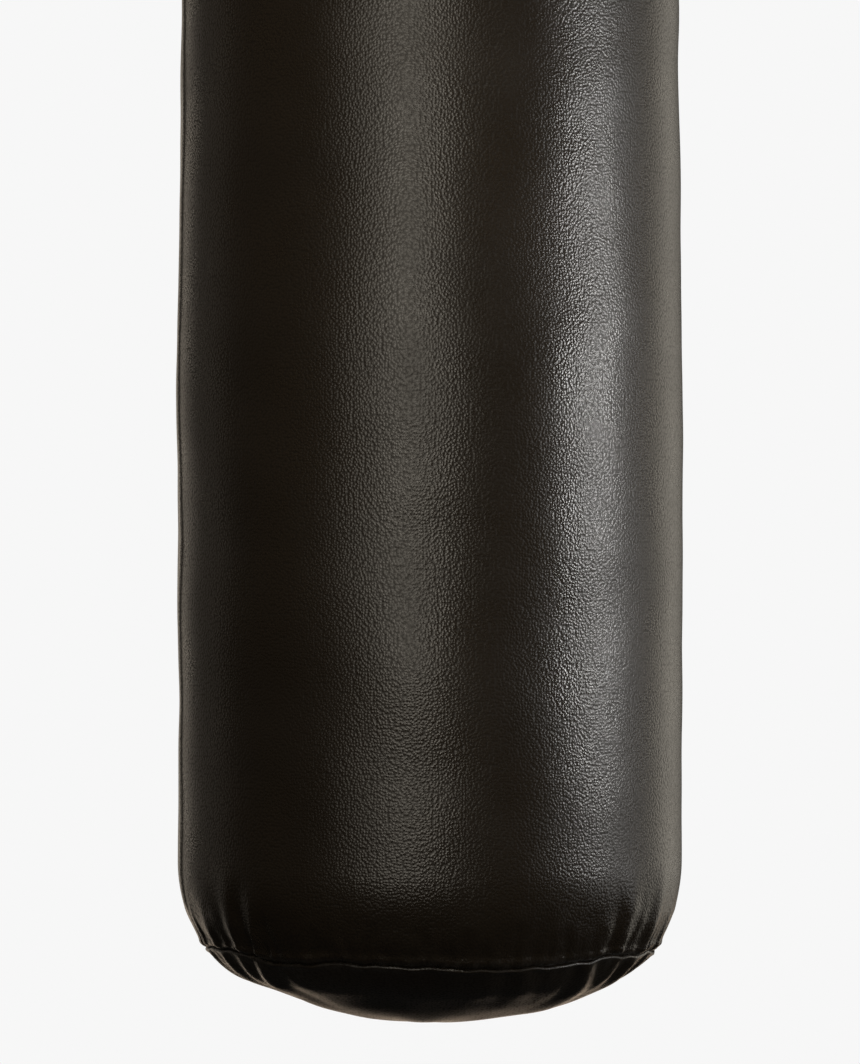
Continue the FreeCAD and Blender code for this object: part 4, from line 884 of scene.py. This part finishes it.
def make_tab(index, bearing, leather, thread):
    """A strap folded round its D-ring's bar: two plies with rounded edges, sewn down."""
    path = tab_path()
    run = np.concatenate([[0], np.cumsum(np.linalg.norm(np.diff(path, axis=0), axis=1))])
    along = np.gradient(path, axis=0)
    along /= np.linalg.norm(along, axis=1)[:, None]
    normal = np.stack([along[:, 1], -along[:, 0]], axis=1)
    end = np.minimum(run, run[-1] - run)
    corner = 0.007
    half = TAB_WIDE / 2 * path[:, 0] / RADIUS
    half = half - corner + np.sqrt(np.clip(corner ** 2 - np.clip(corner - end, 0, corner) ** 2, 0, None))
    half = np.maximum(half, TAB_WIDE / 2 - corner)

    flat_part = np.linspace(-1, 1, 15)
    edge = np.radians(np.linspace(90, -90, 7)[1:-1])
    around = [(share, 1.0, 0.0) for share in flat_part]
    around += [(1.0, math.sin(turn), math.cos(turn)) for turn in edge]
    around += [(share, -1.0, 0.0) for share in flat_part[::-1]]
    around += [(-1.0, -math.sin(turn), -math.cos(turn)) for turn in edge]
    share, lift, round_off = np.array(around).T
    sewn = 0.00035 * hump((1 - np.abs(share)) - 0.22, 0.05)
    thick = PLY / 2 - sewn
    across = share[None] * (half[:, None] - PLY / 2) + round_off[None] * PLY / 2
    rise = lift[None] * thick[None]
    over_wall = np.clip((-path[:, 1] - 0.02) / 0.03, 0, 1)[:, None]
    radius = path[:, :1] + normal[:, :1] * rise - over_wall * across ** 2 / (2 * RADIUS)
    level = TOP_SEAM + path[:, 1:] + normal[:, 1:] * rise
    turn = math.radians(bearing)
    radial = np.array([math.sin(turn), -math.cos(turn)])
    sideways = np.array([math.cos(turn), math.sin(turn)])
    spots = radius[..., None] * radial + across[..., None] * sideways
    points = np.concatenate([spots, level[..., None]], axis=-1)
    columns = points.shape[1]
    girth = np.concatenate([across, across[:, :1]], axis=1) + 0.05 * index
    flat = np.stack(np.broadcast_arrays(girth, run[:, None]), axis=-1)
    tab = grid_piece("leather_tab_%d" % index, points, flat, leather)
    cap_ends(tab, columns)
    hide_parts("hanging_tab_%d" % index)

    sewing = []
    outer = [row for row in range(len(path)) if path[row, 1] < -0.034 and run[row] < run[-1] / 2]
    for column in (2, 12):
        line = points[outer, column]
        away = np.broadcast_to([radial[0], radial[1], 0.0], line.shape)
        sewing += stitches(line, away, thick=0.0005)
    for row in (outer[2], outer[-1]):
        line = points[row, 2:13]
        away = np.broadcast_to([radial[0], radial[1], 0.0], line.shape)
        sewing += stitches(line, away, thick=0.0005)
    vertices, faces = joined(sewing)
    new_piece("tab_stitching_%d" % index, vertices, faces, thread, "bag")


def cap_ends(piece, columns):
    """Closes both ends of a sleeve of quads."""
    shape = bmesh.new()
    shape.from_mesh(piece.data)
    shape.verts.ensure_lookup_table()
    last = len(shape.verts) - columns
    shape.faces.new([shape.verts[column] for column in range(columns)][::-1])
    shape.faces.new([shape.verts[last + column] for column in range(columns)])
    shape.to_mesh(piece.data)
    shape.free()


# ---------------------------------------------------------------- zip tapes and weld beads

def make_zip_tapes(cloth):
    """Two woven tapes, each with a corded inner edge and a slight wave."""
    low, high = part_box("zip_tapes")
    middle = (low[2] + high[2]) / 2
    half = (high[2] - low[2]) / 2
    long_way = np.linspace(low[0], high[0], 181)[:, None]
    parts = []
    for side in (-1, 1):
        inner = ZIP_SLOT_HALF / 2
        outer = high[1]
        widths = np.concatenate([[inner + 0.0001, inner + 0.0011], np.linspace(inner + 0.0024, outer, 9)])
        bead = np.concatenate([[0.5, 1.25], np.ones(9) * 0.9])
        across = np.concatenate([widths, widths[::-1]])
        lift = np.concatenate([bead, -bead[::-1]]) * half * 0.9
        wave = 0.00012 * np.sin(long_way * 160 + side) * (across - inner) / (outer - inner)
        level = middle - 0.0001 + lift + wave
        grid = np.broadcast_arrays(long_way, side * across, level)
        points = np.stack(grid, axis=-1)[:, ::-side]
        parts.append((points.reshape(-1, 3), sleeve_faces(len(long_way), points.shape[1])))
    vertices, faces = joined(parts)
    tapes = new_piece("woven_zip_tapes", vertices, faces, cloth, "bag")
    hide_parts("zip_tapes")


def make_welds(steel):
    """The rippled beads that hold the yoke under the ceiling plate."""
    low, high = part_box("yoke")
    along = np.linspace(low[1] + 0.001, high[1] - 0.001, 90)
    ripple = 0.0026 + 0.00035 * np.abs(np.sin(np.linspace(0, 15 * np.pi, 90)))
    taper = np.clip(np.sin(np.linspace(0, np.pi, 90)) * 6, 0.55, 1)
    parts = []
    for side, x in ((-1, low[0]), (1, high[0])):
        path = [(x + 0.0008 * side, y, high[2] - 0.0012) for y in along]
        parts.append(tube(path, ripple * taper, 14))
    vertices, faces = joined(parts)
    new_piece("weld_beads", vertices, faces, steel, "ceiling_mount")


# ---------------------------------------------------------------- inside the bag

FILLING_PITCH = 0.008                        # spacing of the rows on a filling


def make_filling(node, profile, seed, lumps, material):
    """A soft body of revolution with lumps and creases. profile is its closed outline, (radius, height)."""
    corners = np.array(profile + profile[:1])
    places = [corners[:1]]
    for start, end in zip(corners[:-1], corners[1:]):
        count = max(2, int(np.linalg.norm(end - start) / FILLING_PITCH))
        places.append(start + (end - start) * np.linspace(0, 1, count + 1)[1:, None])
    outline = np.concatenate(places)[:-1]
    for _ in range(4):
        outline = (np.roll(outline, 1, axis=0) + 2 * outline + np.roll(outline, -1, axis=0)) / 4
    ahead = np.roll(outline, -1, axis=0) - np.roll(outline, 1, axis=0)
    ahead /= np.linalg.norm(ahead, axis=1)[:, None]
    bearing = np.linspace(-180, 180, 181)[None, :-1]
    run = np.arange(len(outline))[:, None] * FILLING_PITCH
    push = rolling(bearing, run, seed, lumps, 24, 0.04, 0.16) - 1.2 * lumps
    radius = np.maximum(outline[:, :1] + ahead[:, 1:] * push, 0.0002)
    level = outline[:, 1:] - ahead[:, :1] * push
    points = polar(bearing, radius, level)
    points = np.concatenate([points, points[:1]])
    piece = grid_piece("soft_" + node, points, closed_flat(points), material)
    weld = bmesh.new()
    weld.from_mesh(piece.data)
    bmesh.ops.remove_doubles(weld, verts=weld.verts, dist=0.0000005)
    weld.to_mesh(piece.data)
    weld.free()
    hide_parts(node)


def make_insides():
    """The foam, textile and liner, each inside the box of its CAD solid."""
    cloth = woven("liner_cloth", (0.23, 0.22, 0.20), 0.0012)
    grey_foam = foam("foam_grey", (0.20, 0.21, 0.22))
    scraps = rags("packed_rags")
    for node, material, slot, lumps, fill in (
            ("foam_wrap", grey_foam, "foam", 0.0012, 0.9),
            ("top_foam", grey_foam, "foam", 0.0012, 0.7),
            ("textile_fill", scraps, "textile", 0.0030, 1.0)):
        low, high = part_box(node)
        inner = INNER_RADII.get(node, 0.0004)
        profile = [(high[0], low[2]), (high[0], high[2]), (inner, high[2]), (inner, low[2])]
        make_filling(node, profile, len(node), lumps, material)
    low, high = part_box("base_foam")
    bowl = [(high[0] * share, low[2] + BULGE * share ** 2) for share in np.linspace(0.003, 1, 12)]
    make_filling("base_foam", bowl + [(0.0004, high[2])], 7, 0.0012, grey_foam)
    low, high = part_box("liner")
    sack = [(0.0004, low[2]), (high[0] - 0.016, low[2]), (high[0], low[2] + TUCK), (high[0], high[2])]
    thick = 0.0012
    inside = [(out - thick if out > 0.001 else out, up + thick if up < high[2] else up)
              for out, up in reversed(sack)]
    make_filling("liner", sack + inside, 5, 0.0004, cloth)


# ---------------------------------------------------------------- the CAD nodes that stay

def dress(node, material):
    """Gives every face of a CAD node one material."""
    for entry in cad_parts[node].material_slots:
        entry.link = "OBJECT"
        entry.material = material


def numbered(*parts):
    """Node names part_1 to part_4, for the four chains and what hangs on them."""
    return ["%s_%d" % (part, index) for part in parts for index in range(1, 5)]


def dress_hardware(coat):
    """The CAD nodes that stay as they are, by material."""
    steel = metal("bright_steel", (0.68, 0.68, 0.67), 0.20)
    spring = metal("spring_steel", (0.45, 0.45, 0.46), 0.30)
    race = metal("bearing_steel", (0.62, 0.62, 0.62), 0.16, 0.3)
    nickel = metal("nickel", (0.66, 0.62, 0.56), 0.22)
    wardrobe = [
        (coat, ["ceiling_plate", "yoke"]),
        (race, ["lower_race", "upper_race", "bearing_balls", "thrust_washer"]),
        (metal("cage_brass", (0.72, 0.52, 0.22), 0.28), ["ball_cage"]),
        (metal("zinc_plate", (0.60, 0.60, 0.58), 0.30), ["eye_stem", "castle_nut", "cotter_pin"]),
        (steel, ["carabiner_body", "carabiner_gate", "carabiner_pin", "master_ring", "hook_pins"]),
        (steel, numbered("hook_body", "hook_gate", "d_ring")),
        (spring, ["carabiner_spring"] + numbered("hook_spring")),
        (metal("chain_zinc", (0.56, 0.56, 0.55), 0.27, grimy=0.55), numbered("chain")),
        (nickel, ["tab_rivets", "zip_slider", "zip_pull", "zip_stops"]),
        (metal("zip_brass", (0.62, 0.50, 0.28), 0.30), ["zip_teeth"]),
        (moulded("core_plastic", (0.033, 0.040, 0.051)), ["sand_core"]),
    ]
    for material, nodes in wardrobe:
        for node in nodes:
            dress(node, material)


def main():
    make_camera()
    make_light()
    make_floor()
    wall_leather = pebbled_leather("black_leather_wall", worn_level=BASE_SEAM)
    panel_leather = pebbled_leather("black_leather_panel", depth=0.00017, roughness=0.33,
                                    worn_level=BASE_SEAM)
    tab_leather = pebbled_leather("black_leather_strap", pebble=0.0019, depth=0.00020, roughness=0.35)
    thread = waxed_thread("black_thread", (0.035, 0.033, 0.030))
    coat = powder_coat("black_powder_coat", (0.016, 0.016, 0.017))
    make_wall(wall_leather)
    make_base(panel_leather)
    make_top(panel_leather, thread)
    for index, bearing in enumerate(TAB_BEARINGS, start=1):
        make_tab(index, bearing, tab_leather, thread)
    make_zip_tapes(woven("zip_tape_cloth", (0.014, 0.014, 0.014), 0.0007))
    make_welds(coat)
    make_insides()
    dress_hardware(coat)


main()
